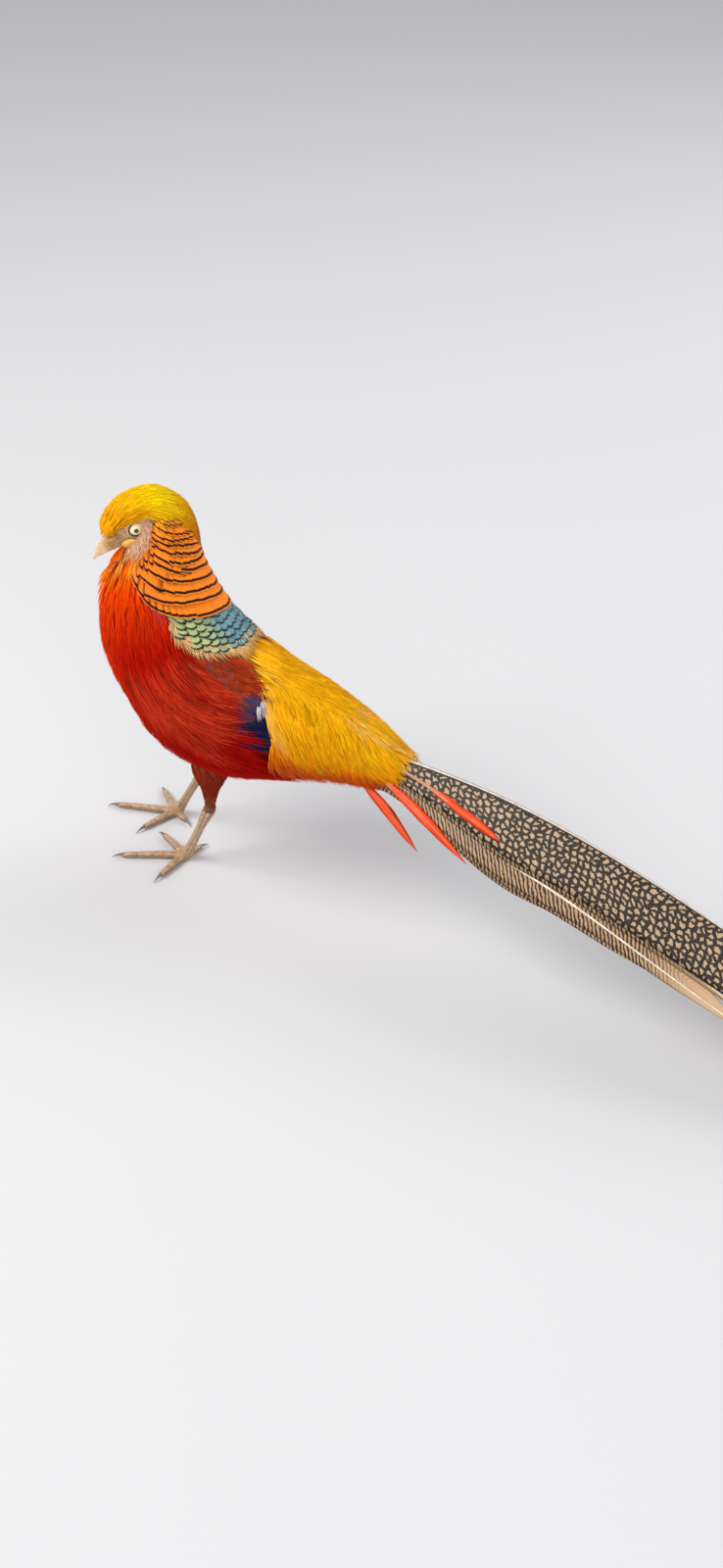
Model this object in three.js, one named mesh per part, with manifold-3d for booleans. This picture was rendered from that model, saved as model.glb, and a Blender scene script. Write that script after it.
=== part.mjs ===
// Golden pheasant, male, standing with its head turned to its left and its tail laid out behind.
// Millimetres, +Z up. The bird faces -Y, its left side is +X, and it stands on the plane z = 0.

import * as THREE from 'three';
import { mergeVertices } from 'three/addons/utils/BufferGeometryUtils.js';
import Module from 'manifold-3d';

const wasm = await Module();
wasm.setup();

// Driving dimensions
const GAP = 0.3;
const DEGREE = Math.PI / 180;
const SEED = 11;
const random = THREE.MathUtils.seededRandom;
random(SEED);

// The body's stations, from behind the head to the rump's end: x, y, z, half height, half width and
// the angle, above level, of the line from the middle to the back
const BODY = [
  [-8, -3, 301, 18, 19, 45],
  [-6, -8, 288, 31, 28, 36],
  [-3, -9, 270, 37, 34, 26],
  [0, -9, 250, 43, 40, 20],
  [0, -6, 229, 49, 45, 18],
  [0, 1, 206, 54, 51, 22],
  [0, 17, 181, 56, 56, 36],
  [0, 42, 160, 56, 57, 58],
  [0, 76, 149, 50, 53, 78],
  [0, 108, 148, 42, 45, 86],
  [1, 141, 144, 34, 37, 82],
  [3, 171, 139, 27, 29, 80],
  [6, 193, 135, 21, 22, 80],
  [8, 209, 132, 17, 18, 80],
];
const BODY_STEP = 0.5;
const BODY_SIDES = 18;
const PART_GAP = 0.008;
const NECK_TOP = 0;
const NECK_END = 4.5;
const RUMP_START = 7;
const RUMP_CORE_END = 12.4;
const RUMP_TIP = 12.95;

// The head's frame: the point between the eyes, turned to the left and tipped down
const HEAD_PLACE = [10, -17.7, 297];
const HEAD_YAW = 41.7 * DEGREE;
const HEAD_PITCH = 25.4 * DEGREE;
const SKULL = { y: 5, z: 1, halfWidth: 13.4, halfLength: 22, halfHeight: 16.5 };

// The crest's outline from the forehead to the nape: y, z, half width
const CREST = [
  [-26.5, 4, 6.5],
  [-20, 15, 11],
  [-3, 24, 14.5],
  [14, 23.5, 16],
  [27, 18.5, 17.5],
  [37, 4, 18.5],
  [40.5, -13, 18],
  [37, -32, 14],
  [33, -42, 9],
];
const CREST_CAP = { end: 0.92, top: -2.6, under: -5.4, edge: 78 };
const CREST_CLEAR = { end: 1, top: 0, under: -7.4, edge: 80.4 };
const CREST_LOCKS = {
  tiers: 3, locks: 6, first: 0.04, last: 0.56, reach: 64, length: 0.4, width: 6.4, thick: 1, root: -4,
  tip: -0.7, bow: 0.7, radius: 17.5,
};
const EYE = { x: 8.2, y: 0, z: 0, radius: 6.2 };
const LID = { x: 12.6, radius: 5, tube: 1 };
const LAPPET = { x: 12.1, y: -1, z: -8.4, half: [1.5, 5, 3.2] };
const BILL = { base: 13, tip: 40, culmen: 4, drop: 13, gape: -7.5, halfWidth: 6 };
const NOSTRIL = { x: 4.9, y: -19, z: -2, half: [1.2, 2.3, 0.9] };
const MOUTH = { width: 30, length: 11, gap: 0.7, y: -14 };

// The tail's ridge: x, y, z, laid on the floor at its end
const TAIL_LINE = [
  [3, 152, 141],
  [8, 190, 145],
  [15, 235, 147],
  [26, 300, 145],
  [39, 380, 132],
  [53, 470, 107],
  [67, 560, 76],
  [80, 640, 46],
  [90, 705, 20],
  [97, 750, 5],
  [104, 796, 1],
];
const TAIL_FALL = [0.92, 0.18];
const TAIL_HALF_WIDTH = 36;
const TAIL_TAPER = 330;

// Legs: foot centre, ankle, hip, heading in degrees to the left, and the bird's side
const LEGS = {
  left: { foot: [25, 18], ankle: [27, 46, 61], hip: [24, 48, 108], heading: 28, side: 1 },
  right: { foot: [-26, -20], ankle: [-25, 14, 61], hip: [-24, 22, 118], heading: 11, side: -1 },
};
const THIGH_RADII = [21, 20, 15.5, 11, 8.8, 7.4];
const TARSUS_RADII = [4.6, 5.4, 4.3, 3.6, 3.5, 3.5, 3.7, 4.4];
const TARSUS_FOOT = 0.167;
const TOES = [
  { name: 'inner', turn: -57, length: 34 },
  { name: 'middle', turn: -3, length: 52 },
  { name: 'outer', turn: 54, length: 33 },
  { name: 'hind', turn: -140, length: 16 },
];
const TOE_RADIUS = 3.3;
const TOE_AXIS = 2.6;
const FOOT_BALL = 3.9;
const CLAW = { length: 9, radius: 1.9 };

// The folded wing: first and last station, its upper and lower edge in degrees from the back at the
// start, the middle and the end, and its thickness
const WING = { start: 5.3, end: 8.95, upper: [42, 25, 26], lower: [98, 98, 86], thickness: 4.5 };
const WING_LIFT = 0.55;
const WING_CLEAR = 0.5;
const WING_PAD = { start: 5.4, end: 7.9, inset: 3, thickness: 1.8 };
const COVERTS = {
  tiers: 2, vanes: 3, first: 5.5, pitch: 0.55, top: [52, 44], bottom: 86, length: 28, width: 16.5,
  root: 0.9, tip: 3.3, thick: 0.8, tilt: 0.1,
};
const FLIGHTS = {
  vanes: 5, stations: [6.5, 6.1], roots: [40, 89], tips: [37, 75], lengths: [66, 92], width: 16,
  root: 1.2, tip: 2.2, thick: 0.75, tilt: 0.8,
};

// Vanes and locks: shares of the length and of the width, and how far the edges lag behind the shaft
const SQUARE_VANE = [[0, 0.8, 0], [0.82, 1, 0.02], [1, 0.55, 0.07]];
const LONG_VANE = [[0, 0.7, 0], [0.4, 1, 0], [0.86, 0.9, 0.01], [1, 0.35, 0.04]];
const LOCKS = {
  short: [[0, 0.8], [0.35, 1], [0.75, 0.66], [1, 0.14]],
  long: [[0, 0.8], [0.15, 0.95], [0.3, 1], [0.46, 0.95], [0.62, 0.8], [0.8, 0.55], [1, 0.12]],
};

// The cape on the neck, the mantle behind it and the locks of the flanks
const CAPE = {
  tiers: 5, pitch: 14.5, spacing: 25, reach: 87.5, throat: 138, first: 0.3, length: 27, root: -3.4,
  tip: 0.1, thick: 0.9,
};
const MANTLE = [
  { station: 4.56, reach: 44, length: 20 },
  { station: 5.2, reach: 33, length: 18 },
  { station: 5.75, reach: 22, length: 15 },
  { station: 6.2, reach: 11, length: 11 },
];
const MANTLE_VANE = { spacing: 22, root: -3.4, tip: 0, thick: 0.9 };
const VANE_SHARE = 0.95;
const COAT = { cape: 2, rump: 3 };
const FLANK = [
  { station: 4.6, angle: 61, length: 78, drift: -14 },
  { station: 4.6, angle: 77, length: 98, drift: -9 },
  { station: 4.62, angle: 93, length: 116, drift: -1 },
  { station: 5.3, angle: 109, length: 92, drift: -4 },
  { station: 5.9, angle: 119, length: 80, drift: -12 },
  { station: 6.4, angle: 130, length: 64, drift: -10 },
];
const FLANK_LOCK = { width: 15, thick: 1, root: -2, tip: 7.6, bow: 0.36, shape: 'long' };

// The rump's locks and the spears beside the tail's root
const RUMP_LOCKS = [
  { station: 7.2, reach: 12, count: 3, length: 44, drift: 12 },
  { station: 8.1, reach: 15, count: 4, length: 42, drift: 34 },
  { station: 9.0, reach: 54, count: 6, length: 38, drift: 40 },
  { station: 9.8, reach: 74, count: 7, length: 36, drift: 36 },
  { station: 10.7, reach: 88, count: 7, length: 36, drift: 24 },
  { station: 11.5, reach: 100, count: 6, length: 28, drift: 12 },
];
const RUMP_LOCK = { width: 15, thick: 1.2, root: -4.6, tip: 0.4, over: 6.4, bow: 0.75 };
const SPEARS = [
  { from: [30, 17, -4], to: [79, 19, -50] },
  { from: [34, 15, -2], to: [129, 22, -42] },
  { from: [34, 11, 3.5], to: [160, 28, 2] },
];
const SPEAR = { width: 9, thick: 1.2, bow: 8 };

// Tail feathers: length, width and the middle of the width from the ridge, in layers from the top
const TAIL_ROOT = { end: 34, above: 0.4, below: 9.3 };
const TAIL_CLEAR = { end: 66, wider: 6 };
const TAIL_START = 3;
const TAIL_STEP = 64;
const LAYER = 1.5;
const TAIL_VANE = 0.95;
const LATERALS = [
  { length: 500, width: 29, middle: 17 },
  { length: 400, width: 28, middle: 22 },
  { length: 325, width: 27, middle: 26 },
  { length: 235, width: 25, middle: 28 },
];
const CENTRAL = { edges: [-15, 29], long: 1, short: 0.93 };

const vector = (x, y, z) => new THREE.Vector3(x, y, z);
const mix = THREE.MathUtils.lerp;
const smooth = (t, low, high) => THREE.MathUtils.smoothstep(t, low, high);

// A closed geometry from points and faces, turned so that its faces point out
function closed(points, faces) {
  const cross = vector(0, 0, 0);
  let volume = 0;
  for (const [a, b, c] of faces) {
    volume += points[a].dot(cross.crossVectors(points[b], points[c]));
  }
  const index = faces.flatMap(([a, b, c]) => (volume < 0 ? [a, c, b] : [a, b, c]));
  const geometry = new THREE.BufferGeometry().setFromPoints(points);
  geometry.setIndex(index);
  return geometry;
}

// A solid through a row of rings with as many points each, closed by a fan at both ends
function loft(rings) {
  const count = rings[0].length;
  const points = rings.flat();
  const faces = [];
  for (let i = 0; i < rings.length - 1; i += 1) {
    for (let j = 0; j < count; j += 1) {
      const a = i * count + j;
      const b = i * count + ((j + 1) % count);
      faces.push([a, b, b + count], [a, b + count, a + count]);
    }
  }
  const last = (rings.length - 1) * count;
  for (const start of [0, last]) {
    const centre = vector(0, 0, 0);
    for (let j = 0; j < count; j += 1) {
      centre.addScaledVector(points[start + j], 1 / count);
    }
    points.push(centre);
    for (let j = 0; j < count; j += 1) {
      const next = start + ((j + 1) % count);
      faces.push(start === 0 ? [points.length - 1, next, j] : [points.length - 1, start + j, next]);
    }
  }
  return closed(points, faces);
}

// A thin plate through rows of upper and lower points, split into triangles alike on both faces
function plate(rows) {
  const across = rows[0].upper.length;
  const under = rows.length * across;
  const points = [...rows.flatMap((row) => row.upper), ...rows.flatMap((row) => row.lower)];
  const faces = [];
  for (let i = 0; i < rows.length - 1; i += 1) {
    for (let j = 0; j < across - 1; j += 1) {
      const a = i * across + j;
      const [b, c, d] = [a + 1, a + across + 1, a + across];
      faces.push([a, b, c], [a, c, d]);
      faces.push([a + under, c + under, b + under], [a + under, d + under, c + under]);
      if (j === 0) {
        faces.push([a, d, d + under], [a, d + under, a + under]);
      }
      if (j === across - 2) {
        faces.push([c, b, b + under], [c, b + under, c + under]);
      }
      if (i === 0) {
        faces.push([b, a, a + under], [b, a + under, b + under]);
      }
      if (i === rows.length - 2) {
        faces.push([d, c, c + under], [d, c + under, d + under]);
      }
    }
  }
  return closed(points, faces);
}

// A vane of three points across; place takes the way from the root, the offset and the height
function vane(place, shape, size) {
  const rows = shape.map(([t, wide, lag]) => {
    const lift = mix(size.root, size.tip, t);
    const row = { upper: [], lower: [] };
    for (const side of [-1, 0, 1]) {
      const way = size.length * (t - Math.abs(side) * lag);
      const offset = side * wide * size.width / 2;
      const tilt = side * (size.tilt ?? 0) * Math.min(2 * t, 1);
      row.upper.push(place(way, offset, lift + tilt + size.thick));
      row.lower.push(place(way, offset, lift + tilt));
    }
    return row;
  });
  return plate(rows);
}

// A tapered lock with a ridge above and below
function lock(place, size) {
  return loft(LOCKS[size.shape ?? 'short'].map(([t, wide]) => {
    const lift = mix(size.root, size.tip, t ** (size.bow ?? 1));
    const half = wide * size.width / 2;
    const thick = size.thick * mix(1, 0.45, t);
    const way = size.length * t;
    return [
      place(way, -half, lift),
      place(way, 0, lift - thick),
      place(way, half, lift),
      place(way, 0, lift + thick),
    ];
  }));
}

// Booleans on closed geometries
function solid(geometry) {
  const bare = geometry.clone();
  bare.deleteAttribute('normal');
  bare.deleteAttribute('uv');
  const merged = mergeVertices(bare, 1e-4);
  return new wasm.Manifold(new wasm.Mesh({
    numProp: 3,
    vertProperties: new Float32Array(merged.attributes.position.array),
    triVerts: new Uint32Array(merged.index.array),
  }));
}

function largest(body) {
  const bodies = body.decompose();
  return bodies.reduce((best, next) => (next.volume() > best.volume() ? next : best));
}

function joined(geometries) {
  return wasm.Manifold.union(geometries.map(solid));
}

function geometryOf(body) {
  const mesh = largest(body).getMesh();
  const geometry = new THREE.BufferGeometry();
  geometry.setAttribute('position', new THREE.BufferAttribute(mesh.vertProperties, 3));
  geometry.setIndex(new THREE.BufferAttribute(mesh.triVerts, 1));
  geometry.computeVertexNormals();
  return geometry;
}

// A point on or above the body: station, angle from the back's middle towards the left, height
const curveOf = (points, kind) => new THREE.CatmullRomCurve3(points, false, kind);
const bodyLine = curveOf(BODY.map(([x, y, z]) => vector(x, y, z)), 'catmullrom');
const bodySize = curveOf(BODY.map(([, , , high, wide, lean]) => vector(high, wide, lean)), 'catmullrom');

function bodyPoint(station, angle, height) {
  const t = THREE.MathUtils.clamp(station / (BODY.length - 1), 0, 1);
  const centre = bodyLine.getPoint(t);
  const size = bodySize.getPoint(t);
  const lean = size.z * DEGREE;
  const rise = (size.x + height) * Math.cos(angle);
  const side = (size.y + height) * Math.sin(angle);
  return centre.add(vector(side, rise * Math.cos(lean), rise * Math.sin(lean)));
}

// The station reached after some millimetres along the body at an angle
function bodyRun(start, angle, way) {
  const step = 0.04;
  let station = start;
  let left = Math.abs(way);
  let here = bodyPoint(station, angle, 0);
  while (left > 0) {
    station += step * Math.sign(way);
    const next = bodyPoint(station, angle, 0);
    const moved = Math.max(next.distanceTo(here), 0.2);
    if (moved > left) {
      return station - step * Math.sign(way) * (1 - left / moved);
    }
    left -= moved;
    here = next;
  }
  return station;
}

function bodyRadius(station) {
  const size = bodySize.getPoint(station / (BODY.length - 1));
  return (size.x + size.y) / 2;
}

// Places on the body from a root: way back from it, degrees to the left, height; it drifts outwards
function onBody(station, angle, length, drift) {
  return (way, offset, height) => {
    const turned = (angle + drift * way / length) * DEGREE;
    return bodyPoint(bodyRun(station, turned, way), turned + offset * DEGREE, height);
  };
}

// How deep the body lies under the outline where vanes and locks cover it
function coatDepth(station, angle) {
  const turn = Math.abs(Math.atan2(Math.sin(angle), Math.cos(angle))) / DEGREE;
  const cape = COAT.cape * (1 - smooth(turn, 80, 104)) * (1 - smooth(station, 5.6, 6.4));
  return cape + COAT.rump * smooth(station, 6.8, 7.4);
}

// The body between two stations, its faces alike wherever it is parted
function bodyLoft(start, end, grow, depth = () => 0) {
  const stations = [start];
  for (let i = Math.ceil((start + 0.05) / BODY_STEP); i * BODY_STEP < end - 0.05; i += 1) {
    stations.push(i * BODY_STEP);
  }
  stations.push(end);
  return loft(stations.map((station) => Array.from({ length: BODY_SIDES }, (_, j) => {
    const angle = (j / BODY_SIDES) * 2 * Math.PI;
    return bodyPoint(station, angle, grow - depth(station, angle));
  })));
}

// The tail's sheet, like a roof: distance along the ridge, offset to the left, height above it
const tailLine = curveOf(TAIL_LINE.map((point) => vector(...point)), 'centripetal');
const TAIL_LENGTH = tailLine.getLength();

function tailPoint(distance, offset, height) {
  const t = THREE.MathUtils.clamp(distance / TAIL_LENGTH, 0, 1);
  const centre = tailLine.getPointAt(t);
  const along = tailLine.getTangentAt(t);
  const left = vector(along.y, -along.x, 0).normalize();
  const up = vector(0, 0, 0).crossVectors(left, along);
  const fall = Math.abs(offset) * mix(...TAIL_FALL, smooth(distance, 380, 600));
  centre.addScaledVector(along, Math.min(distance, 0));
  return centre.addScaledVector(left, offset).addScaledVector(up, height - fall);
}

// The head, in its own frame, from ellipsoids and lofts
function ellipsoid(centre, half, across, along) {
  const geometry = new THREE.SphereGeometry(1, across, along);
  geometry.scale(...half);
  geometry.translate(...centre);
  return geometry;
}

function skull(grow) {
  return ellipsoid(
    [0, SKULL.y, SKULL.z],
    [SKULL.halfWidth + grow, SKULL.halfLength + grow, SKULL.halfHeight + grow], 16, 10,
  );
}

const crestLine = curveOf(CREST.map(([y, z]) => vector(0, y, z)), 'centripetal');
const crestWidth = curveOf(CREST.map(([, , wide], i) => vector(wide, i, 0)), 'catmullrom');

// A point on or above the crest: share of its length, angle from its middle to the left, height
function crestPoint(share, angle, height) {
  const top = crestLine.getPoint(share);
  const along = crestLine.getTangent(share);
  const wide = crestWidth.getPoint(share).x;
  const out = vector(0, -along.z, along.y);
  return top.addScaledVector(out, height * Math.cos(angle) - wide * (1 - Math.cos(angle)))
    .add(vector((wide + height) * Math.sin(angle), 0, 0));
}

function crestCap({ end, top, under, edge }, grow) {
  const rings = [];
  const [steps, sides] = grow > 0 ? [14, 8] : [8, 5];
  for (let i = 0; i <= steps; i += 1) {
    const share = end * i / steps;
    const turns = Array.from({ length: sides + 1 }, (_, j) => mix(-edge, edge, j / sides) * DEGREE);
    const upper = turns.map((turn) => crestPoint(share, turn, top + grow));
    const lower = turns.map((turn) => crestPoint(share, turn, under)).reverse();
    const reach = i === 0 ? -grow : i === steps ? grow : 0;
    const along = crestLine.getTangent(share);
    rings.push([...upper, ...lower].map((point) => point.addScaledVector(along, reach)));
  }
  return loft(rings);
}

function crestLocks() {
  const { tiers, locks, first, last, reach, length, radius } = CREST_LOCKS;
  const pieces = [];
  for (let tier = 0; tier < tiers; tier += 1) {
    const start = mix(first, last, tier / (tiers - 1));
    for (let i = 0; i < locks - (tier % 2); i += 1) {
      const angle = mix(-reach, reach, (i + 0.5 * (tier % 2)) / (locks - 1)) * DEGREE;
      const far = length * mix(0.9, 1.06, random());
      const place = (way, offset, height) => crestPoint(start + far * way, angle + offset / radius, height);
      pieces.push(lock(place, { ...CREST_LOCKS, length: 1 }));
    }
  }
  return pieces;
}

function billPart(upper, grow) {
  const rings = [];
  const steps = 8;
  const reach = upper ? BILL.tip : BILL.tip - 4;
  for (let i = 0; i <= steps; i += 1) {
    const t = i / steps;
    const forward = mix(BILL.base, reach, t);
    const tomium = BILL.gape - 1.5 * t + (upper ? GAP / 2 : -GAP / 2) - (upper && t === 1 ? 1.5 : 0);
    const wide = mix(BILL.halfWidth, 0.8, t ** 1.3) * (upper ? 1 : 0.86) + grow;
    const top = BILL.culmen + 1 - (BILL.drop + 0.5) * t ** 1.9;
    const keel = mix(4.5, 0.9, t ** 0.8);
    const ring = [];
    for (let j = 0; j <= 6; j += 1) {
      const angle = mix(-90, 90, j / 6) * DEGREE;
      const rise = upper ? Math.max(top - tomium, 0.8) : -keel;
      const bulge = Math.cos(angle) ** 0.8 * (rise + Math.sign(rise) * grow);
      ring.push(vector(wide * Math.sin(angle), -forward, tomium + bulge));
    }
    rings.push(ring);
  }
  return loft(rings);
}

// Lids, lappets, nostrils and the corners of the mouth
function lid(side) {
  const ring = new THREE.TorusGeometry(LID.radius, LID.tube, 4, 10);
  ring.rotateY(Math.PI / 2);
  ring.translate(side * LID.x, EYE.y, EYE.z);
  return ring;
}

function lappet(side) {
  return ellipsoid([side * LAPPET.x, LAPPET.y, LAPPET.z], LAPPET.half, 7, 4);
}

function mouthLine() {
  const slit = new THREE.BoxGeometry(MOUTH.width, MOUTH.length, MOUTH.gap);
  slit.translate(0, MOUTH.y, BILL.gape);
  return slit;
}

function socket(side) {
  const half = EYE.radius + GAP;
  return ellipsoid([side * EYE.x, EYE.y, EYE.z], [half, half, half], 12, 8);
}

const faceParts = () => [lid(1), lid(-1), lappet(1), lappet(-1)];
const eyesAndBill = () => [socket(1), socket(-1), billPart(true, GAP), billPart(false, GAP)];

function headGeometry() {
  const plumed = joined([skull(0), crestCap(CREST_CAP, 0), ...faceParts(), ...crestLocks()]);
  return geometryOf(plumed.subtract(joined([mouthLine(), ...eyesAndBill()])));
}

function upperBillGeometry() {
  const nostrils = [1, -1].map((side) => (
    ellipsoid([side * NOSTRIL.x, NOSTRIL.y, NOSTRIL.z], NOSTRIL.half, 6, 4)
  ));
  return geometryOf(solid(billPart(true, 0)).subtract(joined(nostrils)));
}

// The head's frame as a matrix, to take its solids to the body's frame
const headGroup = new THREE.Group();
headGroup.position.set(...HEAD_PLACE);
headGroup.rotation.set(HEAD_PITCH, 0, HEAD_YAW, 'ZXY');
headGroup.updateMatrixWorld(true);

function inBody(geometry) {
  return geometry.clone().applyMatrix4(headGroup.matrixWorld);
}

// Neck, torso and rump
function headClear() {
  const parts = [skull(GAP), crestCap(CREST_CLEAR, GAP), ...faceParts(), ...eyesAndBill()];
  return joined(parts.map(inBody));
}

// The station that the cape's tips reach: furthest at the back's middle
function capeEdge(angle) {
  const turn = Math.abs(angle);
  return 4.75 - 0.011 * turn - 2.3 * smooth(turn, 50, 104);
}

function capeVanes() {
  const pieces = [];
  for (let tier = 0; tier < CAPE.tiers; tier += 1) {
    const above = CAPE.tiers - 1 - tier;
    const right = tier < 2 ? CAPE.throat : CAPE.reach;
    const shift = (tier % 2) * CAPE.spacing / 2;
    for (let angle = -right + shift; angle <= CAPE.reach; angle += CAPE.spacing) {
      const length = CAPE.length * mix(0.95, 1.05, random());
      const turned = angle * DEGREE;
      const edge = capeEdge(Math.max(angle, -CAPE.reach));
      const station = bodyRun(edge, turned, -CAPE.length - above * CAPE.pitch);
      if (station > CAPE.first) {
        const size = { ...CAPE, length, width: CAPE.spacing * VANE_SHARE, tip: CAPE.tip + 0.3 * random() };
        pieces.push(vane(onBody(station, angle, length, 0), SQUARE_VANE, size));
      }
    }
  }
  return pieces;
}

function neckGeometry() {
  const core = bodyLoft(NECK_TOP, NECK_END - PART_GAP, 0, coatDepth);
  return geometryOf(joined([core, ...capeVanes()]).subtract(headClear()));
}

function mantleVanes() {
  const pieces = [];
  MANTLE.forEach(({ station, reach, length }) => {
    const size = { ...MANTLE_VANE, length, width: MANTLE_VANE.spacing * VANE_SHARE };
    for (let angle = -reach; angle <= reach; angle += MANTLE_VANE.spacing) {
      pieces.push(vane(onBody(station, angle, length, 0), SQUARE_VANE, size));
    }
  });
  return pieces;
}

// Long locks from the shoulder and from below the wing, laid back over it
function flankLocks(side) {
  return FLANK.map(({ station, angle, length, drift }) => (
    lock(onBody(station, side * angle, length, side * drift), { ...FLANK_LOCK, length })
  ));
}

function torsoGeometry() {
  const core = bodyLoft(NECK_END, RUMP_START - PART_GAP, 0, coatDepth);
  const coat = joined([core, ...mantleVanes(), ...flankLocks(1), ...flankLocks(-1)]);
  const around = joined([wingShell(1, WING_CLEAR), wingShell(-1, WING_CLEAR)]);
  return geometryOf(coat.subtract(around));
}

function rumpLocks() {
  const pieces = [];
  RUMP_LOCKS.forEach(({ station, reach, count, length, drift }, tier) => {
    const wide = RUMP_LOCK.width / bodyRadius(station) / DEGREE;
    for (let i = 0; i < count; i += 1) {
      const share = mix(-1, 1, i / (count - 1));
      const angle = share * reach;
      const over = tier < 3 ? smooth(Math.abs(angle + share * drift), 22, 40) : 0;
      const far = length * mix(0.94, 1.04, random());
      const place = onBody(station, angle, far, share * drift);
      const tip = mix(RUMP_LOCK.tip, RUMP_LOCK.over, over);
      pieces.push(lock(place, { ...RUMP_LOCK, length: far, width: wide, tip }));
    }
  });
  return pieces;
}

// A spear beside the tail's root, its flat side turned out
function spear(side, { from, to }) {
  const start = tailPoint(from[0], side * from[1], from[2]);
  const end = tailPoint(to[0], side * to[1], to[2]);
  const middle = start.clone().lerp(end, 0.5).add(vector(side * 2, 0, SPEAR.bow));
  const curve = new THREE.QuadraticBezierCurve3(start, middle, end);
  const out = vector(side * 0.75, 0, 0.66);
  const place = (way, offset, height) => {
    const along = curve.getTangent(way);
    const across = vector(0, 0, 0).crossVectors(along, out).normalize();
    const normal = vector(0, 0, 0).crossVectors(across, along);
    return curve.getPoint(way).addScaledVector(across, offset).addScaledVector(normal, height);
  };
  return lock(place, { length: 1, width: SPEAR.width, thick: SPEAR.thick, root: 0, tip: 0 });
}

function rumpGeometry() {
  const core = bodyLoft(RUMP_START, RUMP_CORE_END, 0, coatDepth);
  const spears = [1, -1].flatMap((side) => SPEARS.map((size) => spear(side, size)));
  const coat = joined([core, ...rumpLocks(), ...spears]);
  const around = joined([wingShell(1, WING_CLEAR), wingShell(-1, WING_CLEAR), tailRoot(GAP)]);
  return geometryOf(coat.subtract(around));
}

// The tail: vanes in layers under one another, held together at the root
const tailSpread = (distance) => mix(0.36, 1, smooth(distance, 20, 190));
const tailTaper = (distance) => mix(1, 0.15, smooth(distance, TAIL_TAPER, TAIL_LENGTH));

function tailRoot(grow) {
  const [end, wider] = grow > 0 ? [TAIL_CLEAR.end, TAIL_CLEAR.wider] : [TAIL_ROOT.end, 0];
  const steps = grow > 0 ? 4 : 2;
  const rows = [];
  for (let i = 0; i <= steps; i += 1) {
    const distance = mix(-grow, end, i / steps);
    const half = (TAIL_HALF_WIDTH + wider) * tailSpread(distance) + grow;
    const offsets = [-half, 0, half];
    rows.push({
      upper: offsets.map((offset) => tailPoint(distance, offset, TAIL_ROOT.above + grow)),
      lower: offsets.map((offset) => tailPoint(distance, offset, -TAIL_ROOT.below - grow * 1.5)),
    });
  }
  return plate(rows);
}

function tailVane(length, layer, columns) {
  const distances = [TAIL_START, TAIL_STEP / 2];
  for (let distance = TAIL_STEP; distance < length - TAIL_STEP / 5; distance += TAIL_STEP) {
    distances.push(distance);
  }
  distances.push(length);
  const height = -layer * LAYER;
  return plate(distances.map((distance) => {
    const offsets = columns(distance, distance / length);
    const upper = offsets.map((offset) => tailPoint(distance, offset, height));
    const lower = offsets.map((offset) => tailPoint(distance, offset, height - TAIL_VANE));
    lower.forEach((point, i) => {
      point.z = Math.max(point.z, 0);
      upper[i].z = Math.max(upper[i].z, TAIL_VANE);
    });
    return { upper, lower };
  }));
}

function tailGeometry() {
  const vanes = [];
  for (const [side, long] of [[1, CENTRAL.long], [-1, CENTRAL.short]]) {
    const [inner, outer] = CENTRAL.edges;
    vanes.push(tailVane(long * TAIL_LENGTH, side > 0 ? 0 : 1, (distance) => {
      const scale = side * tailSpread(distance) * tailTaper(distance);
      return [inner * scale, 0, outer * scale * 0.5, outer * scale];
    }));
    LATERALS.forEach(({ length, width, middle }, i) => {
      vanes.push(tailVane(length, i + 2, (distance, share) => {
        const half = tailSpread(distance) * width / 2 * mix(1, 0.25, smooth(share, 0.72, 1.02));
        const centre = tailSpread(distance) * middle;
        return [side * (centre - half), side * centre, side * (centre + half)];
      }));
    });
  }
  return geometryOf(joined([tailRoot(0), ...vanes]));
}

// The folded wing: its edges, the room it takes, a pad and its vanes
function wingEdge(station, [first, middle, last]) {
  const t = THREE.MathUtils.clamp((station - WING.start) / (WING.end - WING.start), 0, 1);
  return t < 0.5 ? mix(first, middle, smooth(t, 0, 0.5)) : mix(middle, last, smooth(t, 0.5, 1));
}

function wingPlate(side, { start, end, inset, thickness, grow }) {
  const rows = [];
  const steps = 7;
  const sides = 5;
  for (let i = 0; i <= steps; i += 1) {
    const t = i / steps;
    const station = mix(start - 0.01 * grow, end + 0.01 * grow, t);
    const upperEdge = wingEdge(station, WING.upper) - 1.5 * grow + inset;
    const lowerEdge = wingEdge(station, WING.lower) + 1.5 * grow - inset;
    const thick = thickness * Math.sin(Math.PI * mix(0.03, 0.88, t)) ** 0.7;
    const row = { upper: [], lower: [] };
    for (let j = 0; j <= sides; j += 1) {
      const angle = side * mix(upperEdge, lowerEdge, j / sides) * DEGREE;
      const edge = j === 0 || j === sides ? 0.4 : 1;
      row.lower.push(bodyPoint(station, angle, WING_LIFT - grow));
      row.upper.push(bodyPoint(station, angle, WING_LIFT + Math.max(thick * edge, 0.8) + grow));
    }
    rows.push(row);
  }
  return plate(rows);
}

const wingShell = (side, grow) => wingPlate(side, { ...WING, inset: 0, grow });
const wingPad = (side) => wingPlate(side, { ...WING, ...WING_PAD, grow: 0 });

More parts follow.
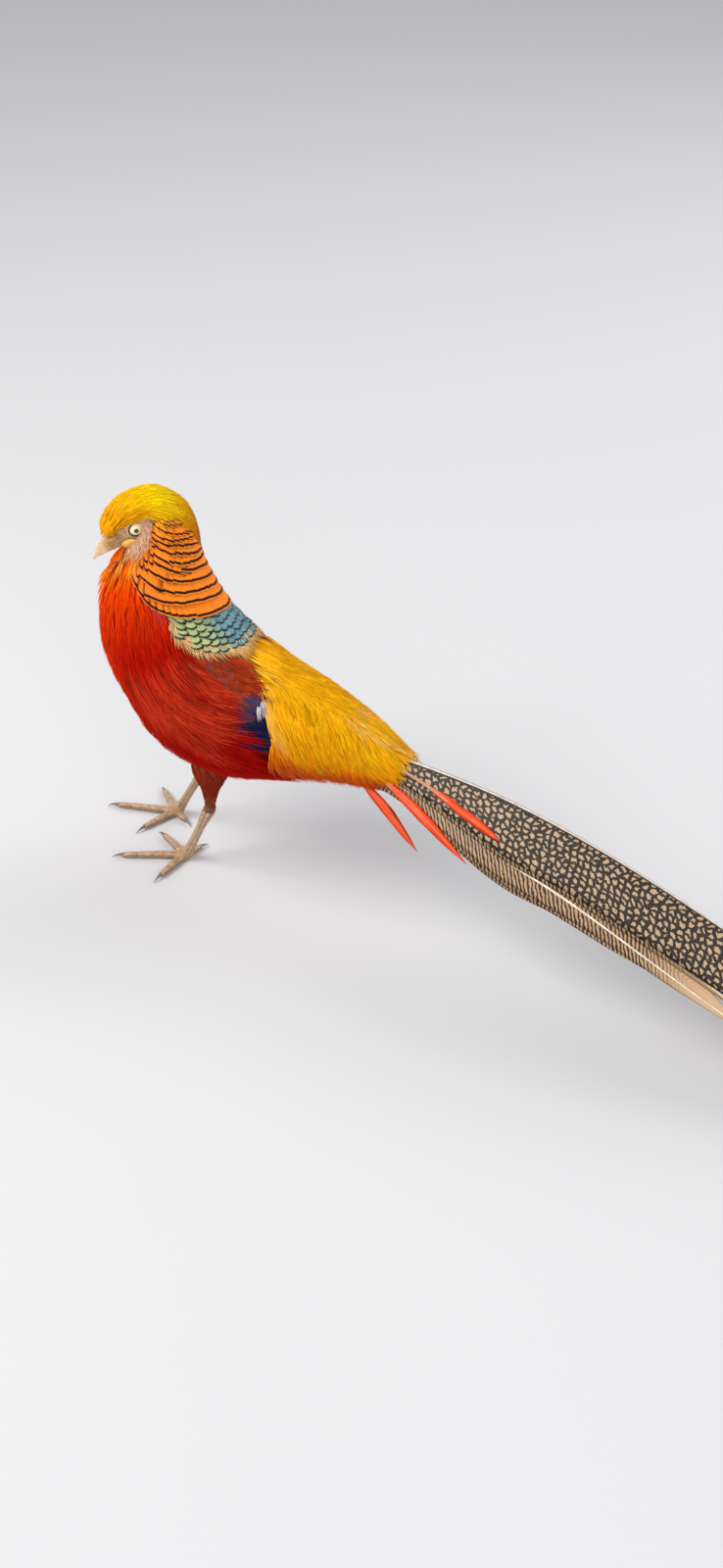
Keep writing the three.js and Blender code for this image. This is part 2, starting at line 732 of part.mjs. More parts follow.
function wingVanes(side) {
  const pieces = [];
  const mirrored = (place) => (way, offset, height) => place(way, side * offset, height);
  for (let i = 0; i < FLIGHTS.vanes; i += 1) {
    const t = i / (FLIGHTS.vanes - 1);
    const angle = mix(...FLIGHTS.roots, t);
    const length = mix(...FLIGHTS.lengths, t);
    const drift = mix(...FLIGHTS.tips, t) - angle;
    const place = mirrored(onBody(mix(...FLIGHTS.stations, t), side * angle, length, side * drift));
    pieces.push(vane(place, LONG_VANE, { ...FLIGHTS, length }));
  }
  for (let tier = 0; tier < COVERTS.tiers; tier += 1) {
    for (let i = 0; i < COVERTS.vanes - tier; i += 1) {
      const angle = mix(COVERTS.top[tier], COVERTS.bottom, (i + 0.5 * tier) / (COVERTS.vanes - 1));
      const station = COVERTS.first + tier * COVERTS.pitch;
      const place = mirrored(onBody(station, side * angle, COVERTS.length, side * 2));
      pieces.push(vane(place, SQUARE_VANE, COVERTS));
    }
  }
  return pieces;
}

function wingGeometry(side) {
  return geometryOf(joined([wingPad(side), ...wingVanes(side)]));
}

// A round limb along a smooth path, its ends moved out by grow
function limb(path, radii, count, grow) {
  const curve = new THREE.CatmullRomCurve3(path, false, 'centripetal');
  const steps = radii.length - 1;
  const rings = [];
  for (let i = 0; i <= steps; i += 1) {
    const centre = curve.getPoint(i / steps);
    const along = curve.getTangent(i / steps);
    const side = vector(1, 0, 0).addScaledVector(along, -along.x).normalize();
    const front = vector(0, 0, 0).crossVectors(along, side);
    const end = i === 0 ? -grow : i === steps ? grow : 0;
    centre.addScaledVector(along, end);
    const ring = [];
    for (let j = 0; j < count; j += 1) {
      const angle = (j / count) * 2 * Math.PI;
      ring.push(centre.clone()
        .addScaledVector(side, (radii[i] + grow) * Math.cos(angle))
        .addScaledVector(front, (radii[i] + grow) * Math.sin(angle)));
    }
    rings.push(ring);
  }
  return loft(rings);
}

function tarsusEnds(leg) {
  const ankle = vector(...leg.ankle);
  const floor = vector(leg.foot[0], leg.foot[1], 0);
  return [ankle, floor.lerp(ankle, TARSUS_FOOT)];
}

function tarsus(leg, grow) {
  const [ankle, foot] = tarsusEnds(leg);
  return limb([ankle, ankle.clone().lerp(foot, 0.5), foot], TARSUS_RADII, 10, grow);
}

function thighGeometry(leg) {
  const hip = vector(...leg.hip);
  const ankle = vector(...leg.ankle);
  const thigh = solid(limb([hip, hip.clone().lerp(ankle, 0.5), ankle], THIGH_RADII, 12, 0));
  return geometryOf(thigh.subtract(joined([bodyLoft(NECK_END, RUMP_TIP, GAP), tarsus(leg, GAP)])));
}

// A toe lying on the floor: rings along its line, flattened where they meet the floor
function toeRings(leg, toe, from, to, radii, count) {
  const turn = (leg.heading + leg.side * toe.turn) * DEGREE;
  const ahead = vector(Math.sin(turn), -Math.cos(turn), 0);
  const side = vector(ahead.y, -ahead.x, 0);
  return radii.map(([radius, axis], i) => {
    const centre = vector(leg.foot[0], leg.foot[1], axis)
      .addScaledVector(ahead, mix(from, to, i / (radii.length - 1)));
    return Array.from({ length: count }, (_, j) => {
      const angle = (j / count) * 2 * Math.PI;
      const point = centre.clone().addScaledVector(side, radius * Math.cos(angle));
      point.z = Math.max(centre.z + radius * Math.sin(angle), 0);
      return point;
    });
  });
}

function footGeometry(leg) {
  const [, foot] = tarsusEnds(leg);
  const low = vector(leg.foot[0], leg.foot[1], FOOT_BALL);
  const ball = limb([low, foot], [5.5, 6.6, 4.9], 8, 0);
  const parts = TOES.map((toe) => {
    const radii = [];
    const steps = 1 + Math.round(toe.length / 9);
    for (let i = 0; i <= steps; i += 1) {
      const pad = i % 2 === 0 ? 1 : 0.9;
      radii.push([mix(TOE_RADIUS + 0.5, TOE_RADIUS - 1.1, i / steps) * pad, TOE_AXIS]);
    }
    return loft(toeRings(leg, toe, 0, toe.length, radii, 6));
  });
  return geometryOf(joined([ball, ...parts]).subtract(solid(tarsus(leg, GAP))));
}

function clawGeometry(leg, toe) {
  const radii = [];
  const steps = 3;
  for (let i = 0; i <= steps; i += 1) {
    const t = i / steps;
    radii.push([mix(CLAW.radius, 0.35, t), mix(2.9, 1.1, t * t)]);
  }
  return loft(toeRings(leg, toe, toe.length + GAP, toe.length + CLAW.length, radii, 6));
}

// Assembly
const materials = {
  crest: { color: 0xe8a200, roughness: 0.6 },
  cape: { color: 0xf07a10, roughness: 0.6 },
  breast: { color: 0xc21807, roughness: 0.7 },
  rump: { color: 0xf2a900, roughness: 0.65 },
  tail: { color: 0x8c7350, roughness: 0.6 },
  leg: { color: 0xb89a6a, roughness: 0.6 },
  bill: { color: 0xc9a868, roughness: 0.45 },
  eye: { color: 0xf2ead0, roughness: 0.15 },
};

function named(name, geometry, look) {
  const mesh = new THREE.Mesh(geometry, new THREE.MeshStandardMaterial({ ...materials[look], metalness: 0 }));
  mesh.name = name;
  return mesh;
}

const bird = new THREE.Group();
headGroup.add(named('head', headGeometry(), 'crest'));
headGroup.add(named('bill_upper', upperBillGeometry(), 'bill'));
headGroup.add(named('bill_lower', billPart(false, 0), 'bill'));
for (const [name, side] of [['eye_left', 1], ['eye_right', -1]]) {
  const eye = named(name, ellipsoid([0, 0, 0], [EYE.radius, EYE.radius, EYE.radius], 12, 8), 'eye');
  eye.position.set(side * EYE.x, EYE.y, EYE.z);
  headGroup.add(eye);
}
bird.add(headGroup);
bird.add(named('neck', neckGeometry(), 'cape'));
bird.add(named('torso', torsoGeometry(), 'breast'));
bird.add(named('rump', rumpGeometry(), 'rump'));
bird.add(named('tail', tailGeometry(), 'tail'));
for (const [side, leg] of Object.entries(LEGS)) {
  bird.add(named(`wing_${side}`, wingGeometry(leg.side), 'breast'));
  bird.add(named(`thigh_${side}`, thighGeometry(leg), 'breast'));
  bird.add(named(`tarsus_${side}`, tarsus(leg, 0), 'leg'));
  bird.add(named(`foot_${side}`, footGeometry(leg), 'leg'));
  for (const toe of TOES) {
    bird.add(named(`claw_${toe.name}_${side}`, clawGeometry(leg, toe), 'bill'));
  }
}

// The origin is the middle of the bottom of the whole bird's box
const extent = new THREE.Box3().setFromObject(bird);
bird.position.set(-(extent.min.x + extent.max.x) / 2, -(extent.min.y + extent.max.y) / 2, -extent.min.z);

export default bird;
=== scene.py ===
"""A male golden pheasant, standing with its head turned to its left.

The bird's own sizes are millimetres in its own frame: it faces -Y, its left side is +X, and it
stands on z = 0. Every piece is worked out there and then taken to the row frame, in metres.
"""

from __future__ import annotations

import logging
from abc import ABC, abstractmethod
from collections.abc import Callable, Sequence
from dataclasses import dataclass, field
from enum import Enum
from math import cos, pi, radians, sin

import bmesh
import bpy
import numpy as np
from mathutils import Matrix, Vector
from mathutils.kdtree import KDTree

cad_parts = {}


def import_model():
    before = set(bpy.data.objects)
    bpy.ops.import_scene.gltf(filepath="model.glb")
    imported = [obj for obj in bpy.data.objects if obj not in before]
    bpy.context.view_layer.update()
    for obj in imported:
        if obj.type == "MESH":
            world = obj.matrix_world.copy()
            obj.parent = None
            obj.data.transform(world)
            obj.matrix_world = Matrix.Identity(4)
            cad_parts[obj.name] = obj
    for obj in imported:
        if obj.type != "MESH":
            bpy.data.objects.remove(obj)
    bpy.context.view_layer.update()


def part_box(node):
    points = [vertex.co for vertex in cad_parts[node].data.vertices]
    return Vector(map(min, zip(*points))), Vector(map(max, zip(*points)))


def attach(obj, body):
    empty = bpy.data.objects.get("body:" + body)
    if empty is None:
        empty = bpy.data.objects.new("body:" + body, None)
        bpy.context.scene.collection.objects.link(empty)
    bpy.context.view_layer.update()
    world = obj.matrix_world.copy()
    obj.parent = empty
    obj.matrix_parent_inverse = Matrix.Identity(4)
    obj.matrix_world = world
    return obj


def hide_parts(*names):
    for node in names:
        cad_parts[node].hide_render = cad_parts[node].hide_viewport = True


Array = np.ndarray
Chance = np.random.Generator
Material = bpy.types.Material
Socket = bpy.types.NodeSocket
Thing = bpy.types.Object
Colour = tuple[float, float, float]
Place = tuple[float, float, float]
Flow = Callable[[Array, Array], Array]
Table = tuple[tuple[float, ...], tuple[float, ...]]

MM = 0.001
TUFT_PATCH = 0.003
SIDES = (("left", 1), ("right", -1))
UP = (0.0, 0.0, 1.0)
log = logging.getLogger("pheasant")


# Numbers and curves


def smooth(value: Array | float, low: float, high: float) -> Array:
    """Eases from 0 at low to 1 at high.

    Args:
        value: Numbers to ease.
        low: Where the result is 0.
        high: Where the result is 1.

    Returns:
        Numbers from 0 to 1.
    """
    share = np.clip((np.asarray(value, float) - low) / (high - low), 0, 1)
    return share * share * (3 - 2 * share)


def mix(first: Array | float, second: Array | float, share: Array | float) -> Array:
    """Goes from first at share 0 to second at share 1."""
    return first + (second - first) * share


def tinted(first: Array | Colour, second: Array | Colour, share: Array) -> Array:
    """Mixes rows of colours by one share for each row.

    Args:
        first: One colour, or a colour for each row.
        second: One colour, or a colour for each row.
        share: How much of the second colour each row takes.

    Returns:
        A colour for each row.
    """
    weight = np.asarray(share, float)[:, None]
    return np.asarray(first) * (1 - weight) + np.asarray(second) * weight


def read(table: Table, value: Array) -> Array:
    """Reads a table of places and values."""
    return np.interp(value, *table)


def shades(chance: Chance, spread: float, count: int) -> Array:
    """A brightness near 1 for each of some rows of colours."""
    return chance.normal(1, spread, count)[:, None]


def unit(vectors: Array) -> Array:
    """Vectors at length 1."""
    return vectors / np.maximum(np.linalg.norm(vectors, axis=-1, keepdims=True), 1e-9)


def unwrapped(across: Array, along: Array, rim: float) -> Array:
    """Places on a flat unwrap, from the shares across and along it and its free rim."""
    return np.stack([rim + (1 - 2 * rim) * across, rim + (1 - 2 * rim) * np.clip(along, 0, 1)], -1)


def turns(v: Array) -> Array:
    """Shares of a turn round the back."""
    return (np.asarray(v) / (2 * pi) + 0.5) % 1.0


def evenly(count: int, low: Sequence[float], high: Sequence[float], start: float = 0.5) -> Array:
    """Spreads points evenly through a box of two or three directions.

    Args:
        count: Number of points.
        low: Lowest corner of the box.
        high: Highest corner of the box.
        start: Where the sequence starts.

    Returns:
        An array of points, one row each.
    """
    root = {2: 1.32471795724, 3: 1.22074408461}[len(low)]
    steps = np.array([root ** -(i + 1) for i in range(len(low))])
    share = (start + np.arange(1, count + 1)[:, None] * steps) % 1.0
    return np.asarray(low) + share * (np.asarray(high) - np.asarray(low))


class Spline:
    """A smooth curve through points, by shares of its spans or of its length."""

    def __init__(self, points: Sequence[Sequence[float]], centripetal: bool = False) -> None:
        """Works out the curve's pieces.

        Args:
            points: The points it goes through.
            centripetal: Whether its speed follows the distance between the points.
        """
        inner = np.asarray(points, float)
        ends = np.vstack([2 * inner[0] - inner[1], inner, 2 * inner[-1] - inner[-2]])
        self.spans = len(inner) - 1
        a, b, c, d = ends[:-3], ends[1:-2], ends[2:-1], ends[3:]
        if centripetal:
            pace = np.sqrt(np.linalg.norm(np.diff(ends, axis=0), axis=1))
            x, y, z = (np.maximum(pace, 1e-4)[i : len(pace) - 2 + i, None] for i in range(3))
            start = ((b - a) / x - (c - a) / (x + y) + (c - b) / y) * y
            end = ((c - b) / y - (d - b) / (y + z) + (d - c) / z) * y
        else:
            start, end = (c - a) / 2, (d - b) / 2
        self.terms = (b, start, 3 * (c - b) - 2 * start - end, 2 * (b - c) + start + end)
        self.shares = np.linspace(0, 1, 1201)
        line = self.at(self.shares)
        self.lengths = np.r_[0, np.cumsum(np.linalg.norm(np.diff(line, axis=0), axis=1))]

    def _split(self, share: Array) -> tuple[Array, Array]:
        """The span that each share falls in, and the way along it."""
        place = np.clip(np.asarray(share, float), 0, 1) * self.spans
        span = np.minimum(place.astype(int), self.spans - 1)
        return span, (place - span)[..., None]

    def at(self, share: Array) -> Array:
        """Points at shares of the curve's spans."""
        span, way = self._split(share)
        a, b, c, d = (term[span] for term in self.terms)
        return a + way * (b + way * (c + way * d))

    def slope(self, share: Array) -> Array:
        """Directions of the curve at shares of its spans."""
        span, way = self._split(share)
        _, b, c, d = (term[span] for term in self.terms)
        return unit(b + way * (2 * c + way * 3 * d))

    def even(self, length: Array) -> Array:
        """Shares of the spans at distances along the curve."""
        return np.interp(length, self.lengths, self.shares)


# The bird's frame and the surfaces that its plumage grows on


@dataclass(frozen=True)
class Head:
    """Where the head sits: the point between the eyes, turned to the left and tipped down."""

    place: Place = (10.0, -17.7, 297.0)
    yaw: float = radians(41.7)
    pitch: float = radians(25.4)
    eye: Place = (8.2, 0.0, 0.0)

    def matrix(self) -> Array:
        """The turn from the head's frame to the body's."""
        left, ahead, down, level = sin(self.yaw), cos(self.yaw), sin(self.pitch), cos(self.pitch)
        turn = np.array([[ahead, -left, 0], [left, ahead, 0], [0, 0, 1]])
        return turn @ np.array([[1, 0, 0], [0, level, -down], [0, down, level]])

    def to_body(self, points: Array) -> Array:
        """Takes points from the head's frame to the body's."""
        return np.asarray(points, float) @ self.matrix().T + self.place

    def to_head(self, points: Array) -> Array:
        """Takes points from the body's frame to the head's."""
        return (points - np.array(self.place)) @ self.matrix()


class Stance:
    """The way from the bird's own millimetres to the row frame."""

    def __init__(self, head: Head) -> None:
        """Finds the shift from where the frame has the left eye.

        Args:
            head: The head's place.
        """
        low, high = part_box("eye_left")
        self.shift = (np.array(low) + np.array(high)) / 2 / MM - head.to_body(head.eye)

    def to_row(self, points: Array) -> Array:
        """Takes points in millimetres to the row frame, in metres."""
        return (np.asarray(points, float) + self.shift) * MM


class Surface(ABC):
    """A surface with two coordinates, u towards the tail and v to the left of it."""

    steps = (1e-3, 1e-3)

    @abstractmethod
    def point(self, u: Array, v: Array, height: Array | float) -> Array:
        """Points above the surface, in the body's frame."""

    @abstractmethod
    def chart(self, u: Array, v: Array) -> Array:
        """Places on the flat unwrap of the surface, from 0 to 1."""

    def slopes(self, u: Array, v: Array) -> tuple[Array, Array]:
        """How far a point moves for each unit of u and of v.

        Args:
            u: First coordinates.
            v: Second coordinates.

        Returns:
            The two directions, in millimetres for each unit.
        """
        a, b = self.steps
        along = (self.point(u + a, v, 0) - self.point(u - a, v, 0)) / (2 * a)
        across = (self.point(u, v + b, 0) - self.point(u, v - b, 0)) / (2 * b)
        return along, across

    def area(self, u: Array, v: Array) -> Array:
        """Square millimetres for each unit of u and v."""
        along, across = self.slopes(u, v)
        return np.linalg.norm(np.cross(along, across), axis=-1)

    def run(self, u: Array, v: Array, way: Array | float) -> Array:
        """The first coordinate after some millimetres along u.

        Args:
            u: Where the way starts.
            v: Second coordinates, kept.
            way: Millimetres, towards the head where they are negative.

        Returns:
            First coordinates.
        """
        steps = 24
        here = np.array(u, float)
        for _ in range(steps):
            along, _ = self.slopes(here, v)
            here = here + way / steps / np.maximum(np.linalg.norm(along, axis=-1), 4.0)
        return here


class BodySurface(Surface):
    """The body from behind the head to the tail: station, and angle from the back to the left."""

    rows = (
        (-8, -3, 301, 18, 19, 45), (-6, -8, 288, 31, 28, 36), (-3, -9, 270, 37, 34, 26),
        (0, -9, 250, 43, 40, 20), (0, -6, 229, 49, 45, 18), (0, 1, 206, 54, 51, 22),
        (0, 17, 181, 56, 56, 36), (0, 42, 160, 56, 57, 58), (0, 76, 149, 50, 53, 78),
        (0, 108, 148, 42, 45, 86), (1, 141, 144, 34, 37, 82), (3, 171, 139, 27, 29, 80),
        (6, 193, 135, 21, 22, 80), (8, 209, 132, 17, 18, 80),
    )
    last = 13.0

    def __init__(self) -> None:
        """Lays the middle line, and the half height, half width and lean along it."""
        self.line = Spline([row[:3] for row in self.rows])
        self.size = Spline([row[3:] for row in self.rows])

    def point(self, u: Array, v: Array, height: Array | float) -> Array:
        """Points above the body."""
        share = np.clip(u, 0, self.last) / self.last
        over = (u - np.clip(u, 0, self.last))[..., None]
        high, wide, lean = np.moveaxis(self.size.at(share), -1, 0)
        lean = np.radians(lean)
        rise = (high + height) * np.cos(v)
        side = (wide + height) * np.sin(v)
        out = np.stack([side, rise * np.cos(lean), rise * np.sin(lean)], -1)
        return self.line.at(share) + out + over * 16 * self.line.slope(share)

    def chart(self, u: Array, v: Array) -> Array:
        """Places on the unwrap: once round by the length."""
        return unwrapped(turns(v), u / 15, 0.01)


@dataclass
class CrestSurface(Surface):
    """The crest from the forehead to the nape: share, and angle from its middle to the left."""

    outline = (
        (-26.5, 4, 6.5), (-20, 15, 11), (-3, 24, 14.5), (14, 23.5, 16), (27, 18.5, 17.5),
        (37, 4, 18.5), (40.5, -13, 18), (37, -32, 14), (33, -42, 9),
    )
    head: Head

    def __post_init__(self) -> None:
        """Lays the crest's profile and half widths."""
        self.line = Spline([(0, y, z) for y, z, _ in self.outline], True)
        self.wide = Spline([(wide, i, 0) for i, (_, _, wide) in enumerate(self.outline)])

    def point(self, u: Array, v: Array, height: Array | float) -> Array:
        """Points above the crest."""
        top, along = self.line.at(u), self.line.slope(u)
        over = (u - np.clip(u, 0, 1))[..., None]
        wide = self.wide.at(u)[..., 0]
        out = np.stack([np.zeros_like(wide), -along[..., 2], along[..., 1]], -1)
        rise = height * np.cos(v) - wide * (1 - np.cos(v))
        side = (wide + height) * np.sin(v)
        flat = np.stack([side, np.zeros_like(wide), np.zeros_like(wide)], -1)
        return self.head.to_body(top + out * rise[..., None] + flat + over * 130 * along)

    def chart(self, u: Array, v: Array) -> Array:
        """Places on the unwrap: across by the length."""
        return unwrapped(np.clip(v / pi + 0.5, 0, 1), u / 1.4, 0.02)


@dataclass
class SkullSurface(Surface):
    """The head under its crest: angle from the bill's line, and angle round it from the top."""

    head: Head
    centre: Place = (0.0, 5.0, 1.0)
    half: Place = (13.4, 22.0, 16.5)

    def point(self, u: Array, v: Array, height: Array | float) -> Array:
        """Points above the skull."""
        wide, long, high = (size + height for size in self.half)
        round_it = np.sin(u)
        local = [wide * round_it * np.sin(v), -long * np.cos(u), high * round_it * np.cos(v)]
        return self.head.to_body(np.stack(local, -1) + self.centre)

    def holds(self, points: Array, grow: float) -> Array:
        """Marks points inside the skull, once it is grown by some millimetres."""
        share = (self.head.to_head(points) - self.centre) / (np.array(self.half) + grow)
        return (share**2).sum(-1) < 1

    def chart(self, u: Array, v: Array) -> Array:
        """Places on the unwrap: once round by the length."""
        return unwrapped(turns(v), u / pi, 0.01)


class TailSurface(Surface):
    """The tail's sheet, like a roof: distance along its ridge, and offset to the left."""

    steps = (0.5, 0.5)
    ridge = (
        (3, 152, 141), (8, 190, 145), (15, 235, 147), (26, 300, 145), (39, 380, 132),
        (53, 470, 107), (67, 560, 76), (80, 640, 46), (90, 705, 20), (97, 750, 5), (104, 796, 1),
    )
    fall = (0.92, 0.18)

    def __init__(self) -> None:
        """Lays the ridge."""
        self.line = Spline(self.ridge, True)
        self.length = float(self.line.lengths[-1])

    def point(self, u: Array, v: Array, height: Array | float) -> Array:
        """Points above the tail."""
        share = self.line.even(u)
        along = self.line.slope(share)
        over = (u - np.clip(u, 0, self.length))[..., None]
        left = unit(np.cross(along, UP))
        up = np.cross(left, along)
        drop = np.abs(v) * mix(*self.fall, smooth(u, 380, 600))
        lift = (height - drop)[..., None]
        return self.line.at(share) + left * np.asarray(v)[..., None] + up * lift + over * along

    def chart(self, u: Array, v: Array) -> Array:
        """Places on the unwrap: across by the length."""
        return unwrapped(np.clip(v / 120 + 0.5, 0, 1), u / self.length, 0.02)


class LimbSurface(Surface):
    """A round limb: share of its length, and angle round it."""

    def __init__(
        self,
        path: Sequence[Sequence[float]],
        radii: Sequence[float],
        hint: Sequence[float] = (1, 0, 0),
    ) -> None:
        """Lays the limb.

        Args:
            path: Points of its middle line.
            radii: Radii at even shares of its length.
            hint: The direction, square to the limb or nearly, where the angle is 0.
        """
        self.line = Spline(path, True)
        self.radii = np.asarray(radii, float)
        self.hint = np.asarray(hint, float)

    def point(self, u: Array, v: Array, height: Array | float) -> Array:
        """Points above the limb."""
        share = np.clip(u, 0, 1)
        along = self.line.slope(share)
        side = unit(self.hint - along * (along @ self.hint)[..., None])
        front = np.cross(along, side)
        over = (u - share)[..., None] * self.line.lengths[-1]
        radius = np.interp(share, np.linspace(0, 1, len(self.radii)), self.radii) + height
        out = side * np.cos(v)[..., None] + front * np.sin(v)[..., None]
        return self.line.at(share) + out * radius[..., None] + along * over

    def chart(self, u: Array, v: Array) -> Array:
        """Places on the unwrap: once round by the length."""
        return unwrapped(np.asarray(v) / (2 * pi) % 1.0, u, 0.02)


# Finishes


class Pattern(Enum):
    """What a feather's markings look like."""

    PLAIN = "plain"
    BARRED = "barred"
    SCALED = "scaled"
    NETTED = "netted"
    SLANTED = "slanted"


class Nodes:
    """A material's node tree, built by short calls."""

    def __init__(self, name: str) -> None:
        """Starts a material with one shader.

        Args:
            name: The material's name.
        """
        self.material = bpy.data.materials.new(name)
        self.material.use_nodes = True
        self.tree = self.material.node_tree
        self.shader = self.tree.nodes["Principled BSDF"]

    def add(self, kind: str, **settings: object) -> bpy.types.Node:
        """Adds a node and sets what is named.

        Args:
            kind: The node's type.
            settings: Properties of the node.

        Returns:
            The node.
        """
        node = self.tree.nodes.new(kind)
        for key, value in settings.items():
            setattr(node, key, value)
        return node

    def put(self, value: object, socket: Socket) -> None:
        """Links a socket to another one, or sets it to a number or colour.

        Args:
            value: A socket, a number or a colour.
            socket: The socket that takes it.
        """
        if isinstance(value, Socket):
            self.tree.links.new(value, socket)
        elif isinstance(value, tuple) and len(value) == 3 and socket.type == "RGBA":
            socket.default_value = (*value, 1.0)
        else:
            socket.default_value = value

    def fill(self, node: bpy.types.Node, values: dict[str, object]) -> bpy.types.Node:
        """Links or sets a node's inputs.

        Args:
            node: The node.
            values: Sockets, numbers or colours by the inputs' names.

        Returns:
            The same node.
        """
        for name, value in values.items():
            self.put(value, node.inputs[name])
        return node

    def finished(self, values: dict[str, object]) -> Material:
        """Sets the shader's inputs by name and hands back the material."""
        self.fill(self.shader, values)
        return self.material

    def math(self, operation: str, *values: object, clamp: bool = False) -> Socket:
        """Works out a number.

        Args:
            operation: What is done.
            values: Numbers or sockets.
            clamp: Whether the result is kept from 0 to 1.

        Returns:
            The result's socket.
        """
        node = self.add("ShaderNodeMath", operation=operation, use_clamp=clamp)
        for value, socket in zip(values, node.inputs):
            self.put(value, socket)
        return node.outputs[0]

    def times(self, first: object, second: object) -> Socket:
        """Multiplies two numbers."""
        return self.math("MULTIPLY", first, second)

    def plus(self, first: object, second: object) -> Socket:
        """Adds two numbers."""
        return self.math("ADD", first, second)

    def minus(self, first: object, second: object, clamp: bool = False) -> Socket:
        """Takes the second number from the first."""
        return self.math("SUBTRACT", first, second, clamp=clamp)

    def ease(self, value: object, low: float, high: float) -> Socket:
        """Eases a number from 0 at low to 1 at high."""
        node = self.add("ShaderNodeMapRange", interpolation_type="SMOOTHSTEP")
        self.fill(node, {"Value": value, "From Min": low, "From Max": high})
        return node.outputs["Result"]

    def blend(self, share: object, first: object, second: object) -> Socket:
        """Mixes two colours."""
        node = self.add("ShaderNodeMix", data_type="RGBA")
        return self.fill(node, {"Factor": share, "A": first, "B": second}).outputs["Result"]

    def dimmed(self, colour: object, by: Colour) -> Socket:
        """Multiplies a colour by another one."""
        result = self.blend(1.0, colour, by)
        result.node.blend_type = "MULTIPLY"
        return result

    def attribute(self, name: str, output: str = "Color") -> Socket:
        """The colour or the number of a mesh attribute."""
        return self.add("ShaderNodeAttribute", attribute_name=name).outputs[output]

    def place(self) -> Socket:
        """The place on the object."""
        return self.add("ShaderNodeTexCoord").outputs["Object"]

    def vane(self) -> tuple[Socket, Socket]:
        """The places across and along a feather."""
        place = self.add("ShaderNodeUVMap", uv_map="Vane").outputs["UV"]
        split = self.fill(self.add("ShaderNodeSeparateXYZ"), {"Vector": place})
        return split.outputs["X"], split.outputs["Y"]

    def point(self, x: object, y: object) -> Socket:
        """A place from two numbers."""
        return self.fill(self.add("ShaderNodeCombineXYZ"), {"X": x, "Y": y}).outputs[0]

    def gaps(self, place: object) -> Socket:
        """Distance to the nearest edge between scattered cells."""
        node = self.add(
            "ShaderNodeTexVoronoi", feature="DISTANCE_TO_EDGE", voronoi_dimensions="2D"
        )
        self.fill(node, {"Vector": place, "Scale": 1.0, "Randomness": 0.72})
        return node.outputs["Distance"]

    def noise(self, place: object, scale: float, detail: float = 2.0) -> Socket:
        """Noise from 0 to 1."""
        node = self.add("ShaderNodeTexNoise")
        return self.fill(node, {"Vector": place, "Scale": scale, "Detail": detail}).outputs["Fac"]


@dataclass(frozen=True)
class Plume:
    """The finish of feathers that carry their own tint.

    The barbs are how strongly they show and how many lie across a feather, the band is where a
    bar starts and ends along it, and round_end is how far the bar bends back at the edges. On the
    tail, places are decimetres: bar_pitch is the way from one slanted bar to the next, bar_fade
    where they fade out, and net the meshes of the net across and along.
    """

    name: str
    roughness: float = 0.55
    gloss: float = 0.35
    pattern: Pattern = Pattern.PLAIN
    dark: Colour = (0.02, 0.006, 0.01)
    barbs: tuple[float, float] = (0.0, 30.0)
    band: tuple[float, float] = (0.86, 0.95)
    round_end: float = 0.1
    bar_pitch: float = 0.038
    bar_fade: tuple[float, float] = (2.9, 3.5)
    net: tuple[float, float] = (31.0, 17.0)

    def material(self) -> Material:
        """Builds the material.

        Returns:
            The material.
        """
        nodes = Nodes(self.name)
        across, along = nodes.vane()
        colour = nodes.attribute("Tint")
        strength, count = self.barbs
        if strength:
            hair = nodes.noise(nodes.point(nodes.times(across, count), along), 1.0)
            dark = nodes.dimmed(colour, (1 - strength,) * 3)
            colour = nodes.blend(nodes.ease(hair, 0.3, 0.7), dark, colour)
        mark = self.mark(nodes, across, along)
        if mark is not None:
            colour = nodes.blend(mark, colour, self.dark)
        return nodes.finished({
            "Base Color": colour, "Roughness": self.roughness, "Specular IOR Level": self.gloss,
        })

    def mark(self, nodes: Nodes, across: Socket, along: Socket) -> Socket | None:
        """The share of the marking's colour.

        Args:
            nodes: The material's nodes.
            across: Place across the feather, in decimetres on the tail.
            along: Place along the feather, likewise.

        Returns:
            A number from 0 to 1, or None for a plain feather.
        """
        times, plus, minus = nodes.times, nodes.plus, nodes.minus
        if self.pattern in (Pattern.BARRED, Pattern.SCALED):
            side = minus(across, 0.5)
            bend = times(times(side, side), 4 * self.round_end)
            ragged = nodes.noise(nodes.point(times(across, 26.0), 0.0), 1.0)
            way = plus(plus(along, bend), times(minus(ragged, 0.5), 0.05))
            start, end = self.band
            rise = nodes.ease(way, start - 0.02, start + 0.02)
            return minus(rise, nodes.ease(way, end - 0.015, end + 0.02), clamp=True)
        if self.pattern is Pattern.NETTED:
            shift = times(minus(nodes.noise(nodes.point(across, along), 34.0), 0.5), 0.035)
            lean = times(nodes.math("ABSOLUTE", across), -0.5)
            sideways, onward = plus(across, shift), plus(plus(along, shift), lean)
            gap = nodes.gaps(nodes.point(times(sideways, self.net[0]), times(onward, self.net[1])))
            return minus(1.0, nodes.ease(gap, 0.18, 0.27), clamp=True)
        if self.pattern is Pattern.SLANTED:
            slant = times(nodes.math("ABSOLUTE", across), 1.2)
            rough = times(nodes.noise(nodes.point(across, along), 22.0), 0.045)
            way = plus(minus(along, slant), rough)
            wave = nodes.math("SINE", times(way, 2 * pi / self.bar_pitch))
            kept = minus(1.0, nodes.ease(along, *self.bar_fade))
            return times(nodes.ease(wave, -0.3, 0.25), kept)
        return None


